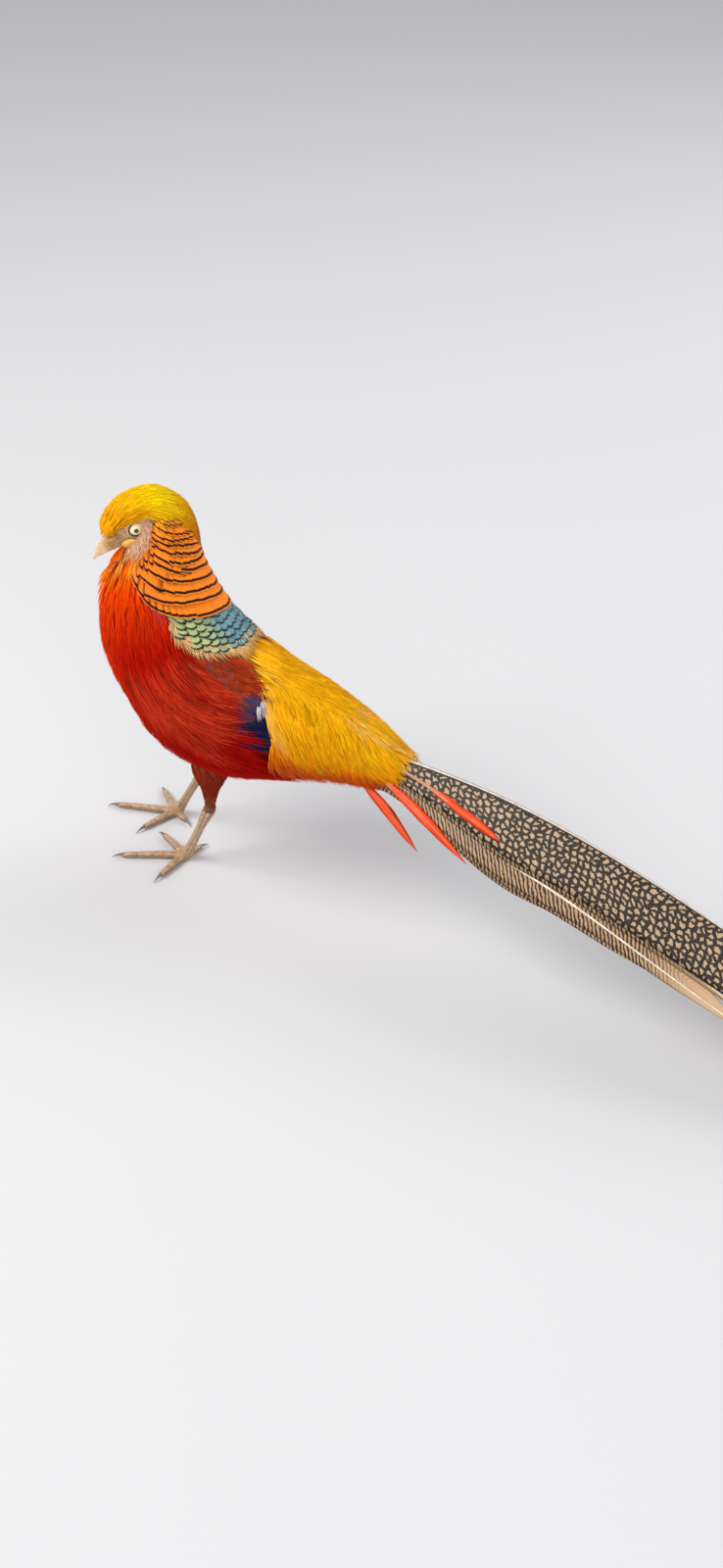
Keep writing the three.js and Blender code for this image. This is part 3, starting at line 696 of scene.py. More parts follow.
@dataclass(frozen=True)
class Bare:
    """The finish of bare parts: skin, horn and scales, which carry their own tint.

    The bump is the height of the fine relief and the grain its grains for each metre, flesh is
    how much light passes under the surface, and coat the strength of a clear layer on top.
    """

    name: str
    roughness: float = 0.6
    bump: float = 0.3
    grain: float = 900.0
    flesh: float = 0.0
    coat: float = 0.0

    def material(self) -> Material:
        """Builds the material.

        Returns:
            The material.
        """
        nodes = Nodes(self.name)
        place, tint = nodes.place(), nodes.attribute("Tint")
        tone = nodes.ease(nodes.noise(place, self.grain / 4), 0.3, 0.75)
        bump = nodes.fill(nodes.add("ShaderNodeBump"), {
            "Strength": self.bump, "Distance": 0.0006,
            "Height": nodes.noise(place, self.grain, 3.0),
        })
        return nodes.finished({
            "Base Color": nodes.blend(tone, nodes.dimmed(tint, (0.72, 0.68, 0.66)), tint),
            "Normal": bump.outputs["Normal"], "Roughness": self.roughness,
            "Coat Weight": self.coat, "Coat Roughness": 0.03,
            "Subsurface Weight": self.flesh, "Subsurface Scale": 0.002,
        })


# Meshes


@dataclass
class Mesh:
    """Points in the body's frame and faces of a piece before it becomes an object.

    The faces are corner numbers, an array for each number of corners. Each point has a tint, a
    place on its feather and one on the unwrap.
    """

    points: Array
    faces: list[Array]
    tint: Array
    vane: Array
    bake: Array

    @staticmethod
    def joined(parts: Sequence["Mesh"]) -> "Mesh":
        """Joins meshes into one.

        Args:
            parts: The meshes.

        Returns:
            One mesh.
        """
        starts = np.cumsum([0] + [len(part.points) for part in parts[:-1]])
        faces = [rows + start for part, start in zip(parts, starts) for rows in part.faces]
        points, tint, vane, bake = (
            np.vstack([getattr(part, name) for part in parts])
            for name in ("points", "tint", "vane", "bake")
        )
        return Mesh(points, faces, tint, vane, bake)

    def triangles(self) -> int:
        """The number of triangles once every face is split."""
        return sum(len(rows) * (rows.shape[1] - 2) for rows in self.faces)


def woven(points: Array, tint: Array, vane: Array, bake: Array) -> Mesh:
    """Makes closed feathers from rows of rings.

    Args:
        points: Places, by feather, row and point of the ring.
        tint: Colours, likewise.
        vane: Places on the feather, likewise.
        bake: Places on the unwrap, likewise.

    Returns:
        One mesh of them all.
    """
    count, rows, ring = points.shape[:3]
    first = np.arange(count)[:, None, None] * rows * ring
    row = np.arange(rows - 1)[None, :, None] * ring
    spot = np.arange(ring)[None, None, :]
    after = (spot + 1) % ring
    a, b = first + row + spot, first + row + after
    sides = np.stack([a, a + ring, b + ring, b], -1).reshape(-1, 4)
    start = first[:, 0] + np.arange(ring)[None, :]
    end = start + (rows - 1) * ring
    return Mesh(
        points.reshape(-1, 3),
        [sides, start, end[:, ::-1]],
        np.broadcast_to(tint, points.shape).reshape(-1, 3),
        vane.reshape(-1, 2),
        bake.reshape(-1, 2),
    )


@dataclass(frozen=True)
class Shape:
    """The outline of one kind of feather.

    The rows are shares of the length with the share of the width there, and the columns are the
    points across, where 2 makes a strand with a ridge. Thick is in millimetres at the root, camber
    how far the edges drop as a share of the half width, and lag how far they stay behind the shaft
    as a share of the length. With a bow under 1 the feather rises early, over 1 late.
    """

    rows: tuple[tuple[float, float], ...]
    columns: int = 2
    thick: float = 0.5
    camber: float = 0.0
    lag: float = 0.0
    bow: float = 1.0

    def ring(self) -> Array:
        """Points round the section, as places across and heights."""
        if self.columns == 2:
            return np.array([(-1, 0.0), (0, 1.0), (1, 0.0)])
        across = np.linspace(-1, 1, self.columns)
        top = [(x, 0.6 * (1 - x * x)) for x in across]
        under = [(x, -0.4 * (1 - x * x)) for x in across[-2:0:-1]]
        return np.array(top + under)


@dataclass
class Roots:
    """Where feathers start and how each one lies, a row for each.

    Low and high are the heights of root and tip, turn the heading added to the flow and curl what
    the tip adds to it, in radians, tint and tips the colours of root and tip, and slant how far
    the tip's end leans along for each millimetre across.
    """

    u: Array
    v: Array
    length: Array
    width: Array
    low: Array
    high: Array
    turn: Array
    curl: Array
    tint: Array
    tips: Array
    slant: Array


def grown(surface: Surface, roots: Roots, shape: Shape, flow: Flow) -> Mesh:
    """Grows feathers over a surface, each along the lie of the coat.

    Args:
        surface: What they grow on.
        roots: Where each starts and how it lies.
        shape: Their outline.
        flow: Heading at each place, from u towards v, in radians.

    Returns:
        One mesh of closed feathers.
    """
    shares = np.array([share for share, _ in shape.rows])
    widths = np.array([width for _, width in shape.rows])
    u, v = roots.u.copy(), roots.v.copy()
    spine, normals = [], []
    for i, share in enumerate(shares):
        if i:
            parts = 2
            for part in range(parts):
                step = (share - shares[i - 1]) / parts
                here = shares[i - 1] + step * (part + 0.5)
                heading = flow(u, v) + roots.turn + roots.curl * here
                along, across = surface.slopes(u, v)
                far = step * roots.length
                u = u + far * np.cos(heading) / np.maximum(np.linalg.norm(along, axis=-1), 3.0)
                v = v + far * np.sin(heading) / np.maximum(np.linalg.norm(across, axis=-1), 0.8)
        along, across = surface.slopes(u, v)
        height = mix(roots.low, roots.high, share**shape.bow)
        spine.append(surface.point(u, v, height))
        normals.append(unit(np.cross(across, along)))
    spine, normals = np.stack(spine, 1), np.stack(normals, 1)
    ahead = unit(np.gradient(spine, axis=1))
    side = unit(np.cross(ahead, normals))
    over = np.cross(side, ahead)
    x, z = shape.ring().T
    half = (roots.width[:, None] * widths / 2)[:, :, None]
    thin = (shape.thick * mix(1.0, 0.4, shares))[None, :, None]
    flat = side[:, :, None] * (half * x)[..., None]
    rise = over[:, :, None] * (z * thin - shape.camber * half * x * x)[..., None]
    lag = shape.lag * roots.length[:, None, None] * x * x - roots.slant[:, None, None] * half * x
    back = ahead[:, :, None] * (lag * shares[:, None])[..., None]
    points = spine[:, :, None] + flat + rise - back
    tone = mix(roots.tint[:, None], roots.tips[:, None], shares[None, :, None])[:, :, None]
    place = np.stack(np.broadcast_arrays((x / 2 + 0.5)[None, None], shares[None, :, None]), -1)
    place = np.broadcast_to(place, (*points.shape[:3], 2))
    bake = surface.chart(roots.u, roots.v)[:, None, None] + (place - 0.5) * TUFT_PATCH
    return woven(points, np.broadcast_to(tone, points.shape), place, bake)


def tufted(
    roots: Roots, count: int, spread: float, gather: float, chance: Chance
) -> Roots:
    """Turns each root into a tuft of strands that fan out.

    Args:
        roots: One row for each tuft.
        count: Strands in a tuft.
        spread: Half the angle of the fan, in radians.
        gather: How much shorter the outer strands are, as a share.
        chance: Source of random numbers.

    Returns:
        One row for each strand.
    """
    many = Roots(**{name: np.repeat(value, count, axis=0) for name, value in vars(roots).items()})
    fan = np.tile(np.linspace(-1, 1, count), len(roots.u)) + chance.normal(0, 0.15, len(many.u))
    many.turn = many.turn + spread * fan
    many.curl = many.curl - spread * fan * chance.uniform(0.2, 0.9, len(fan))
    short = 1 - gather * np.abs(fan) ** 1.5
    many.length = many.length * short * chance.uniform(0.85, 1.1, len(fan))
    many.high = many.high + chance.normal(0, 0.35, len(fan))
    tone = shades(chance, 0.1, len(fan))
    many.tint = np.clip(many.tint * tone, 0, 1)
    many.tips = np.clip(many.tips * tone, 0, 1)
    return many


# Objects


def alone(thing: Thing | None = None) -> None:
    """Deselects everything but one object, which becomes the active one."""
    bpy.ops.object.select_all(action="DESELECT")
    if thing is not None:
        thing.select_set(True)
        bpy.context.view_layer.objects.active = thing


def modelled(name: str, primitive: Callable[..., object], **settings: object) -> Thing:
    """Adds one of Blender's primitives with nothing else selected.

    Args:
        name: The object's name.
        primitive: The operator that adds it.
        settings: The operator's settings.

    Returns:
        The object.
    """
    alone()
    primitive(**settings)
    thing = bpy.context.object
    thing.name = thing.data.name = name
    return thing


def points_of(data: bpy.types.Mesh) -> Array:
    """The points of a mesh, a row for each."""
    places = np.empty(len(data.vertices) * 3)
    data.vertices.foreach_get("co", places)
    return places.reshape(-1, 3)


def colour(data: bpy.types.Mesh, tint: Array) -> None:
    """Gives each point of a mesh its tint."""
    full = np.c_[tint, np.ones(len(tint))].astype(np.float32)
    layer = data.color_attributes.new("Tint", "FLOAT_COLOR", "POINT")
    layer.data.foreach_set("color", full.ravel())


class Maker:
    """Makes objects from meshes and hides the frame's nodes that they stand for."""

    def __init__(self, stance: Stance) -> None:
        """Keeps the way to the row frame.

        Args:
            stance: The way to the row frame.
        """
        self.stance = stance
        self.grown: list[Mesh] = []

    def piece(
        self, name: str, mesh: Mesh, finish: Material, slot: str, nodes: Sequence[str] = ()
    ) -> None:
        """Makes a piece that rides on the bird.

        Args:
            name: The piece's name.
            mesh: Its points and faces.
            finish: Its material.
            slot: Handed on, but not used.
            nodes: The frame's nodes that it stands for.
        """
        data = bpy.data.meshes.new(name)
        data.vertices.add(len(mesh.points))
        data.vertices.foreach_set("co", self.stance.to_row(mesh.points).astype(np.float32).ravel())
        sizes = np.concatenate([np.full(len(rows), rows.shape[1]) for rows in mesh.faces])
        corners = np.concatenate([rows.ravel() for rows in mesh.faces]).astype(np.int32)
        data.loops.add(len(corners))
        data.loops.foreach_set("vertex_index", corners)
        data.polygons.add(len(sizes))
        starts = np.r_[0, np.cumsum(sizes)[:-1]].astype(np.int32)
        data.polygons.foreach_set("loop_start", starts)
        data.polygons.foreach_set("use_smooth", np.ones(len(sizes), bool))
        data.update(calc_edges=True)
        for layer, places in (("OFBake", mesh.bake), ("Vane", mesh.vane)):
            values = places[corners].astype(np.float32).ravel()
            data.uv_layers.new(name=layer).uv.foreach_set("vector", values)
        colour(data, mesh.tint)
        data.materials.append(finish)
        thing = bpy.data.objects.new(name, data)
        bpy.context.collection.objects.link(thing)
        self.dress(thing, slot, nodes)
        log.info("%s: %d triangles", name, mesh.triangles())

    def dress(self, thing: Thing, slot: str, nodes: Sequence[str] = ()) -> None:
        """Lets an object ride on the bird.

        Args:
            thing: The object, in place.
            slot: Not used.
            nodes: The frame's nodes that it stands for.
        """
        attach(thing, "root")
        if nodes:
            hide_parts(*nodes)

    def coat(self, name: str, mesh: Mesh, *about: object) -> None:
        """Makes a piece of plumage and keeps its colours for the skin below."""
        self.grown.append(mesh)
        self.piece(name, mesh, *about)


# Plumage


STRAND = Shape(((0, 0.7), (0.34, 1.0), (0.7, 0.8), (1, 0.08)), thick=0.22)
RISING_STRAND = Shape(((0, 0.7), (0.3, 1.0), (0.68, 0.8), (1, 0.08)), thick=0.22, bow=0.5)
LONG_STRAND = Shape(
    ((0, 0.7), (0.2, 1.0), (0.45, 0.9), (0.72, 0.6), (1, 0.08)), thick=0.25, bow=0.8
)
FINE_STRAND = Shape(((0, 0.7), (0.5, 1.0), (1, 0.08)), thick=0.2)
SILK_STRAND = Shape(((0, 0.7), (0.25, 1.0), (0.5, 1.0), (0.75, 0.8), (1, 0.08)), thick=0.18)
SCALE_VANE = Shape(
    ((0, 0.6), (0.45, 0.92), (0.8, 1.0), (0.93, 0.86), (1, 0.5)), 5, 0.7, 0.16, 0.1, 0.9
)
BROAD_VANE = Shape(
    ((0, 0.6), (0.4, 0.95), (0.75, 1.0), (0.9, 0.95), (0.97, 0.82), (1, 0.6)),
    5, 0.7, 0.18, 0.04, 0.9,
)
LONG_VANE = Shape(
    ((0, 0.5), (0.25, 0.9), (0.5, 1), (0.75, 0.92), (0.92, 0.66), (1, 0.2)), 5, 0.7, 0.12, 0.03
)
SCUTE = Shape(((0, 0.9), (0.5, 1.0), (0.85, 1.0), (1, 0.8)), 5, 0.6, 0.45, 0.06)


def straight(u: Array, v: Array) -> Array:
    """A coat that lies along u."""
    return np.zeros_like(u)


def wrapped(v: Array) -> Array:
    """Angles from -pi to pi."""
    return (np.asarray(v) + pi) % (2 * pi) - pi


def turned(v: Array) -> Array:
    """Degrees from the back's middle, to either side."""
    return np.degrees(np.abs(wrapped(v)))


def scattered(
    surface: Surface,
    spacing: float,
    low: tuple[float, float],
    high: tuple[float, float],
    keep: Callable[[Array, Array], Array],
    start: float = 0.5,
) -> tuple[Array, Array]:
    """Spreads roots evenly over a part of a surface.

    Args:
        surface: What they stand on.
        spacing: Millimetres from one to the next.
        low: Lowest u and v.
        high: Highest u and v.
        keep: Marks the places that belong to the part.
        start: Where the sequence of places starts.

    Returns:
        The first and second coordinates.
    """
    probe = evenly(4000, low, high)
    most = float(np.percentile(surface.area(probe[:, 0], probe[:, 1]), 99.5))
    count = int((high[0] - low[0]) * (high[1] - low[1]) * most / spacing**2)
    places = evenly(count, (*low, 0), (*high, 1), start)
    u, v = places[:, 0], places[:, 1]
    mask = (places[:, 2] * most < surface.area(u, v)) & keep(u, v)
    return u[mask], v[mask]


def roots_at(
    u: Array,
    v: Array,
    length: Array | float,
    width: Array | float,
    lift: tuple[Array | float, Array | float],
    tint: Array,
    tips: Array | None = None,
    turn: Array | float = 0.0,
    slant: Array | float = 0.0,
) -> Roots:
    """Fills in a row for each root.

    Args:
        u: First coordinates.
        v: Second coordinates.
        length: Lengths in millimetres.
        width: Widths in millimetres.
        lift: Heights of the root and of the tip.
        tint: Colours at the root.
        tips: Colours at the tip, or None for the root's.
        turn: Heading added to the flow.
        slant: How far the tip's end leans along for each millimetre across.

    Returns:
        The roots.
    """
    full = np.ones_like(u)
    rows = np.broadcast_to(np.asarray(tint, float), (len(u), 3)).copy()
    ends = rows.copy() if tips is None else tips * full[:, None]
    length, width, low, high, turn, curl = (
        full * value for value in (length, width, *lift, turn, 0.0)
    )
    return Roots(u, v, length, width, low, high, turn, curl, rows, ends, full * slant)


@dataclass
class Markings:
    """Edges and colours of the plumage on the body.

    The edges are stations, against degrees from the back's middle to the left. The cape's, the
    mantle's and the crest's are where its tips end, and the gold's is where the rump's gold starts.
    """

    crest_edge: Table = (
        (-120, -111, -87, -70, -60, -51, -43, -25, -11, -3, 6, 16, 33, 57, 66),
        (0, 0.23, 0.6, 1.03, 1.43, 1.88, 2.12, 2.3, 2.12, 1.88, 1.43, 1.03, 0.6, 0.23, 0),
    )
    cape_edge: Table = (
        (-138, -112, -92, -74, -56, -38, -15, 0, 12, 30, 52, 68, 80, 86, 90, 110),
        (1.3, 2.1, 3.1, 3.9, 4.55, 4.95, 4.9, 4.78, 4.65, 4.42, 4.02, 3.45, 2.75, 2.2, 2.0, 1.6),
    )
    cape_front: Table = (
        (0.5, 1.07, 1.5, 1.58, 1.7, 1.9, 2.1, 2.3, 2.75, 3.45, 4.02, 4.42),
        (62, 59, 59, 64, 70, 77, 85, 84, 80, 68, 52, 30),
    )
    cape_row: Table = (
        (-138, -112, -92, -74, -56, -38, -15, 0, 12, 30, 45, 57, 68, 79, 88, 110),
        (1.3, 2.1, 3.1, 3.9, 4.55, 4.95, 4.9, 4.78, 4.65, 4.4, 4.12, 3.86, 3.62, 3.32, 3.08, 2.5),
    )
    cape_front_right: Table = ((0, 1.2, 2.15, 3.0), (138, 132, 112, 88))
    mantle_edge: Table = (
        (-64, -58, -52, -44, -36, -24, -10, 6, 14, 24, 34, 42, 46, 48, 52, 60),
        (3.6, 4.2, 5.0, 5.9, 6.5, 6.85, 7.0, 7.1, 6.75, 6.25, 5.75, 5.35, 5.05, 4.6, 4.1, 3.6),
    )
    gold_edge: Table = (
        (-130, -116, -106, -92, -72, -60, -52, -46, -38, -26, -12,
         0, 10, 22, 36, 58, 72, 92, 106, 116, 130),
        (11.2, 9.5, 8.8, 8.8, 8.4, 8.0, 7.65, 7.35, 7.0, 6.6, 6.6,
         6.95, 7.45, 7.95, 8.55, 9.0, 9.05, 9.15, 9.3, 9.7, 11.2),
    )
    wing_edge: Table = ((0, 38, 48, 62, 74, 92), (0.0, 4.9, 6.0, 6.9, 7.6, 8.1))
    face_edge: Table = (
        (0, 20, 40, 58, 63, 70, 78, 84), (1.3, 1.4, 1.6, 1.85, 1.75, 1.65, 1.5, 0.0),
    )
    red_top: Table = (
        (0, 1.4, 2.15, 2.7, 3.45, 4.0, 4.6, 5.3, 6.0, 6.6, 7.2, 7.8, 8.6, 9.2, 13),
        (60, 70, 82, 77, 65, 51, 47, 44, 48, 58, 71, 86, 102, 108, 104),
    )
    bill_way: float = 138.0
    throat: Colour = (0.97, 0.15, 0.001)
    cheek: Colour = (0.90, 0.42, 0.06)
    orange: Colour = (0.90, 0.048, 0.0005)
    scarlet: Colour = (0.54, 0.006, 0.0005)
    crimson: Colour = (0.33, 0.0025, 0.001)
    vent: Colour = (0.55, 0.06, 0.003)
    gold_top: Colour = (0.98, 0.43, 0.001)
    gold_side: Colour = (0.93, 0.33, 0.001)
    gold_low: Colour = (0.74, 0.16, 0.001)
    gold_tip: Colour = (0.62, 0.05, 0.002)
    cream: Colour = (0.82, 0.56, 0.24)
    cape: Colour = (0.95, 0.19, 0.003)
    cape_front_tint: Colour = (0.72, 0.11, 0.006)
    cape_top: Colour = (0.92, 0.38, 0.006)
    green: Colour = (0.31, 0.36, 0.125)
    teal: Colour = (0.05, 0.18, 0.21)
    scapular: Colour = (0.40, 0.04, 0.008)
    navy: Colour = (0.012, 0.014, 0.055)

    def on_face(self, u: Array, v: Array, grow: float = 0.0) -> Array:
        """Marks the chin and cheeks, which lie round the way the bill points."""
        away = turned(v - radians(self.bill_way))
        return u < read(self.face_edge, away) + grow * (away < 82)

    def red(self, u: Array, v: Array) -> Array:
        """Colours of the breast, flanks and belly."""
        angle = turned(v)
        front = smooth(angle, 96, 140)
        base = tinted(self.orange, self.scarlet, smooth(u, 2.2, 4.4))
        base = tinted(base, self.crimson, smooth(u, 4.4, 6.4) * (1 - 0.5 * front))
        base = tinted(base, self.orange, 0.4 * front * (1 - smooth(u, 4.5, 7.0)))
        base = tinted(base, self.throat, 1 - smooth(u, 1.4, 2.6))
        return tinted(base, self.vent, smooth(u, 8.8, 10.2))

    def gold(self, v: Array) -> Array:
        """Colours of the rump."""
        angle = turned(v)
        base = tinted(self.gold_top, self.gold_side, smooth(angle, 24, 70))
        return tinted(base, self.gold_low, smooth(angle, 88, 112))

    def mantle(self, v: Array) -> Array:
        """Colours of the scale-like feathers behind the cape."""
        return tinted(self.teal, self.green, smooth(np.degrees(v), 4, 30))


@dataclass
class BodyPlumage:
    """Cape, mantle, breast, flanks, shoulders, rump and chin, one after the other.

    The rows of the cape are millimetres from its edge, and the spacings and sizes of its feathers
    millimetres too.
    """

    body: BodySurface
    skull: SkullSurface
    marks: Markings
    seed: int = 21
    cape_rows: tuple[float, ...] = (0, 10.5, 19.5, 28, 36, 43, 49.5, 55.5, 61, 66.5, 72, 77, 82)
    cape_spacing: float = 4.8
    cape_length: float = 22.0
    cape_width: float = 20.0
    mantle_length: float = 20.0
    mantle_width: float = 13.5
    mantle_pitch: float = 6.2
    mantle_rows: int = 9
    mantle_spacing: float = 6.6
    rump_spacing: float = 3.4
    breast_spacing: float = 4.4
    shoulder_spacing: float = 3.4
    flank_locks: int = 190

    def __post_init__(self) -> None:
        """Starts the random numbers."""
        self.chance = np.random.default_rng(self.seed)

    def rowed(
        self, span: tuple[float, float], spacing: float, shift: float, edge: Table, way: Flow
    ) -> tuple[Array, Array, Array]:
        """Places the tips of one row side by side.

        Args:
            span: First and last angle in degrees.
            spacing: Millimetres from one to the next.
            shift: Share of the spacing by which the row is shifted.
            edge: The edge that the row follows.
            way: Millimetres from the edge towards the head, at stations and angles.

        Returns:
            Stations, angles in radians, and how the row leans there.
        """
        fine = np.radians(np.linspace(*span, 240))
        station = read(edge, np.degrees(fine))
        bell = np.hanning(41) / np.hanning(41).sum()
        station = np.convolve(np.pad(station, 20, "edge"), bell, "valid")
        line = self.body.run(station, fine, -way(station, fine))
        along, across = (np.linalg.norm(slope, axis=-1) for slope in self.body.slopes(line, fine))
        run = np.r_[0, np.cumsum(across[1:] * np.diff(fine))]
        places = (np.arange(max(int(run[-1] / spacing), 2)) + shift) * spacing
        v = np.interp(places, run, fine)
        lean = np.clip(np.gradient(line, fine) * along / across, -1.6, 1.6)
        return np.interp(v, fine, line), v, np.interp(v, fine, lean)

    def cape(self) -> Mesh:
        """Broad feathers in rows down the neck, each with a dark bar before its tip."""
        parts = []
        marks, chance = self.marks, self.chance
        for row, behind in enumerate(self.cape_rows):
            sway = lambda u, v: behind + (row > 0) * (
                0.7 * np.sin(2.3 * v + 1.9 * row) + 0.4 * np.sin(5.1 * v + 0.7 * row)
            )
            line = marks.cape_row if row else marks.cape_edge
            tip, v, lean = self.rowed((-138, 92), self.cape_spacing, 0.5 * (row % 2), line, sway)
            tip = tip + chance.normal(0, 0.01, len(v))
            angle = np.degrees(v)
            hidden = read(marks.crest_edge, angle)
            left = read(marks.cape_front, tip) - angle
            right = angle + read(marks.cape_front_right, tip)
            keep = (tip > hidden) & (tip > 0.3) & (right > -2)
            keep &= left > (0 if row else -90 * (tip > 2.1))
            if row:
                keep &= tip < read(marks.cape_edge, angle) - 0.06
            tip, v, angle, lean, right, hidden = (
                rows[keep] for rows in (tip, v, angle, lean, right, hidden)
            )
            if not len(tip):
                continue
            small = smooth(2.4 - tip, 0, 1.6)
            length = self.cape_length * mix(1.0, 0.6, small) * chance.uniform(0.98, 1.02, len(v))
            free = self.body.run(tip, v, -length)
            root = np.maximum(np.maximum(free, 0.05), hidden - 0.4)
            length = length * (tip - root) / (tip - free)
            _, across = self.body.slopes(tip, v)
            way = (mix(root, tip, share) for share in (0.2, 0.6, 1.0))
            room = np.min([read(marks.cape_front, place) - angle for place in way], axis=0)
            margin = np.radians(room) * np.linalg.norm(across, axis=-1)
            margin = margin if row else np.maximum(margin, 4.0)
            near = 1 - smooth(np.minimum(margin, right), 2, 8)
            front = smooth(angle, 40, 78) + smooth(-angle, 60, 110)
            tint = tinted(marks.cape, marks.cape_front_tint, 0.6 * front)
            top = 0.85 * smooth(1.5 - tip, 0, 0.9) * (angle > 0)
            tint = tinted(tint, marks.cape_top, top)
            tint = tint * shades(chance, 0.05, len(v))
            tips = np.clip(tint * np.array([1.05, 1.3, 3.0]) + np.array([0, 0.02, 0.01]), 0, 1)
            width = self.cape_width * chance.uniform(0.92, 1.08, len(v)) * mix(1, 0.5, small)
            width = np.minimum(width, 2 * np.maximum(margin + 0.6, 1.8))
            high = 0.5 + 0.9 * np.exp(-row / 3.0) + chance.uniform(0, 0.2, len(v))
            lift = (-2.4 - 1.6 * small - 3 * near, high - 0.4 * small)
            turn = chance.normal(0, 0.015, len(v))
            roots = roots_at(root, v, length, width, lift, tint, tips, turn=turn, slant=lean)
            parts.append(grown(self.body, roots, BROAD_VANE, straight))
        return Mesh.joined(parts)

    def mantle(self) -> Mesh:
        """Scale-like feathers behind the cape, each with a dark crescent at its tip."""
        parts = []
        marks, chance = self.marks, self.chance
        for row in range(self.mantle_rows):
            back = lambda u, v: row * self.mantle_pitch + 0 * v
            tip, v, lean = self.rowed(
                (-62, 56), self.mantle_spacing, 0.5 * (row % 2), marks.mantle_edge, back
            )
            v = v + chance.normal(0, 0.01, len(v))
            tip = tip + chance.normal(0, 0.02, len(v))
            behind = tip - read(marks.cape_edge, np.degrees(v))
            tip, v, lean, behind = (rows[behind > -0.1] for rows in (tip, v, lean, behind))
            if not len(tip):
                continue
            length = self.mantle_length * chance.uniform(0.94, 1.06, len(v))
            root = self.body.run(tip, v, -length)
            tint = marks.mantle(v) * shades(chance, 0.12, len(v))
            high = mix(0.4, 2.0, smooth(behind, 0.1, 1.1)) + chance.uniform(0, 0.2, len(v))
            width = self.mantle_width * chance.uniform(0.92, 1.08, len(v))
            roots = roots_at(
                root, v, length, width, (-3.4, high), tint, tint * 1.25,
                turn=chance.normal(0, 0.04, len(v)), slant=0.7 * lean,
            )
            parts.append(grown(self.body, roots, SCALE_VANE, straight))
        return Mesh.joined(parts)

    def fringe(self) -> Mesh:
        """Buff, loose strands that show behind the mantle."""
        marks, chance = self.marks, self.chance
        u, v, _ = self.rowed((-50, 50), 1.1, 0.0, marks.mantle_edge, lambda u, v: 11.0 + 0 * v)
        u = u + chance.normal(0, 0.07, len(u))
        tint = np.array([0.70, 0.44, 0.18]) * shades(chance, 0.12, len(u))
        ridge = 1 - smooth(np.abs(np.degrees(v) + 8), 4, 18)
        length = (19 - 4 * ridge) * chance.uniform(0.8, 1.15, len(u))
        turn = chance.normal(0, 0.15, len(u))
        roots = roots_at(u, v, length, 0.8, (0.0, 1.6), tint, tint * 1.25, turn=turn)
        return grown(self.body, tufted(roots, 5, 0.3, 0.2, chance), STRAND, straight)

    def shoulder(self, side: int) -> Mesh:
        """Soft maroon barbs over the wing's root, between mantle, gold and crimson.

        Args:
            side: 1 for the left, -1 for the right.

        Returns:
            One mesh.
        """
        marks, chance = self.marks, self.chance

        def keep(u: Array, v: Array) -> Array:
            """Marks the places between mantle, wing and gold."""
            angle = side * np.degrees(v)
            mantle = read(marks.mantle_edge, angle) - 0.5
            behind = u > np.maximum(mantle, read(marks.wing_edge, np.abs(angle)))
            ahead = u < read(marks.gold_edge, angle) - 0.1
            return behind & ahead & (np.abs(angle) > (15 if side > 0 else 52))

        reach = radians(92)
        u, v = scattered(self.body, self.shoulder_spacing, (4.0, 0.0), (8.9, reach), keep, 0.1)
        v = side * v
        tint = np.array(marks.scapular) * shades(chance, 0.14, len(u))
        tint = tinted(tint, marks.navy, smooth(u + 0.012 * (turned(v) - 45), 7.75, 8.25))
        roots = roots_at(
            u, v, 17 * chance.uniform(0.85, 1.15, len(u)), 0.9, (-1.6, 1.1), tint, tint * 1.2,
            turn=side * 0.1 + chance.normal(0, 0.08, len(u)),
        )
        fluff = evenly(9, (8.62, 42.0), (8.8, 52.0))[: 9 if side > 0 else 0]
        grey = np.array([0.42, 0.38, 0.40]) * shades(chance, 0.15, len(fluff))
        tufts = roots_at(
            fluff[:, 0], side * np.radians(fluff[:, 1]), 12.0, 0.6, (1.0, 3.0), grey, grey * 1.2,
            turn=side * 0.9 + chance.normal(0, 0.15, len(fluff)),
        )
        return Mesh.joined([
            grown(self.body, tufted(roots, 7, 0.2, 0.25, chance), FINE_STRAND, straight),
            grown(self.body, tufted(tufts, 6, 0.3, 0.3, chance), STRAND, straight),
        ])

    def chin(self) -> Mesh:
        """Pale bristles on the cheeks, and looser orange tufts under the chin."""
        marks, chance = self.marks, self.chance
        keep = lambda u, v: marks.on_face(u, v, -0.08) & (turned(v) > 62)
        u, v = scattered(self.body, 1.5, (-0.1, -pi), (1.8, pi), keep, 0.4)
        free = ~self.skull.holds(self.body.point(u, v, 0.0), -1.0)
        u, v = u[free], v[free]
        rim = read(marks.face_edge, turned(v - radians(marks.bill_way)))
        low = smooth(u - rim, -0.4, 0.0)
        tint = tinted((0.80, 0.46, 0.30), (0.86, 0.30, 0.03), low)
        pale = chance.random(len(u)) > 0.86
        tint[pale] = tinted((0.86, 0.58, 0.38), (0.90, 0.62, 0.26), low[pale])
        length = mix(3.0, 6.5, low) * chance.uniform(0.75, 1.3, len(u))
        tint = tint * shades(chance, 0.08, len(u))
        turn = chance.normal(0, 0.2, len(u))
        roots = roots_at(u, v, length, 0.42, (-0.6, mix(0.5, 1.6, low)), tint, turn=turn)
        places = evenly(230, (0.1, 112.0), (1.2, 236.0))
        angle = np.radians(places[:, 1])
        below = 1 - smooth(places[:, 0], 0.1, 0.7)
        warm = tinted(marks.throat, (0.90, 0.46, 0.10), below)
        length = 8.5 * chance.uniform(0.8, 1.2, len(places))
        lift = (2.0, 5.2 + chance.uniform(0, 1.2, len(places)))
        warm = warm * shades(chance, 0.08, len(places))
        turn = chance.normal(0, 0.15, len(places))
        beard = roots_at(places[:, 0], angle, length, 0.5, lift, warm, turn=turn)
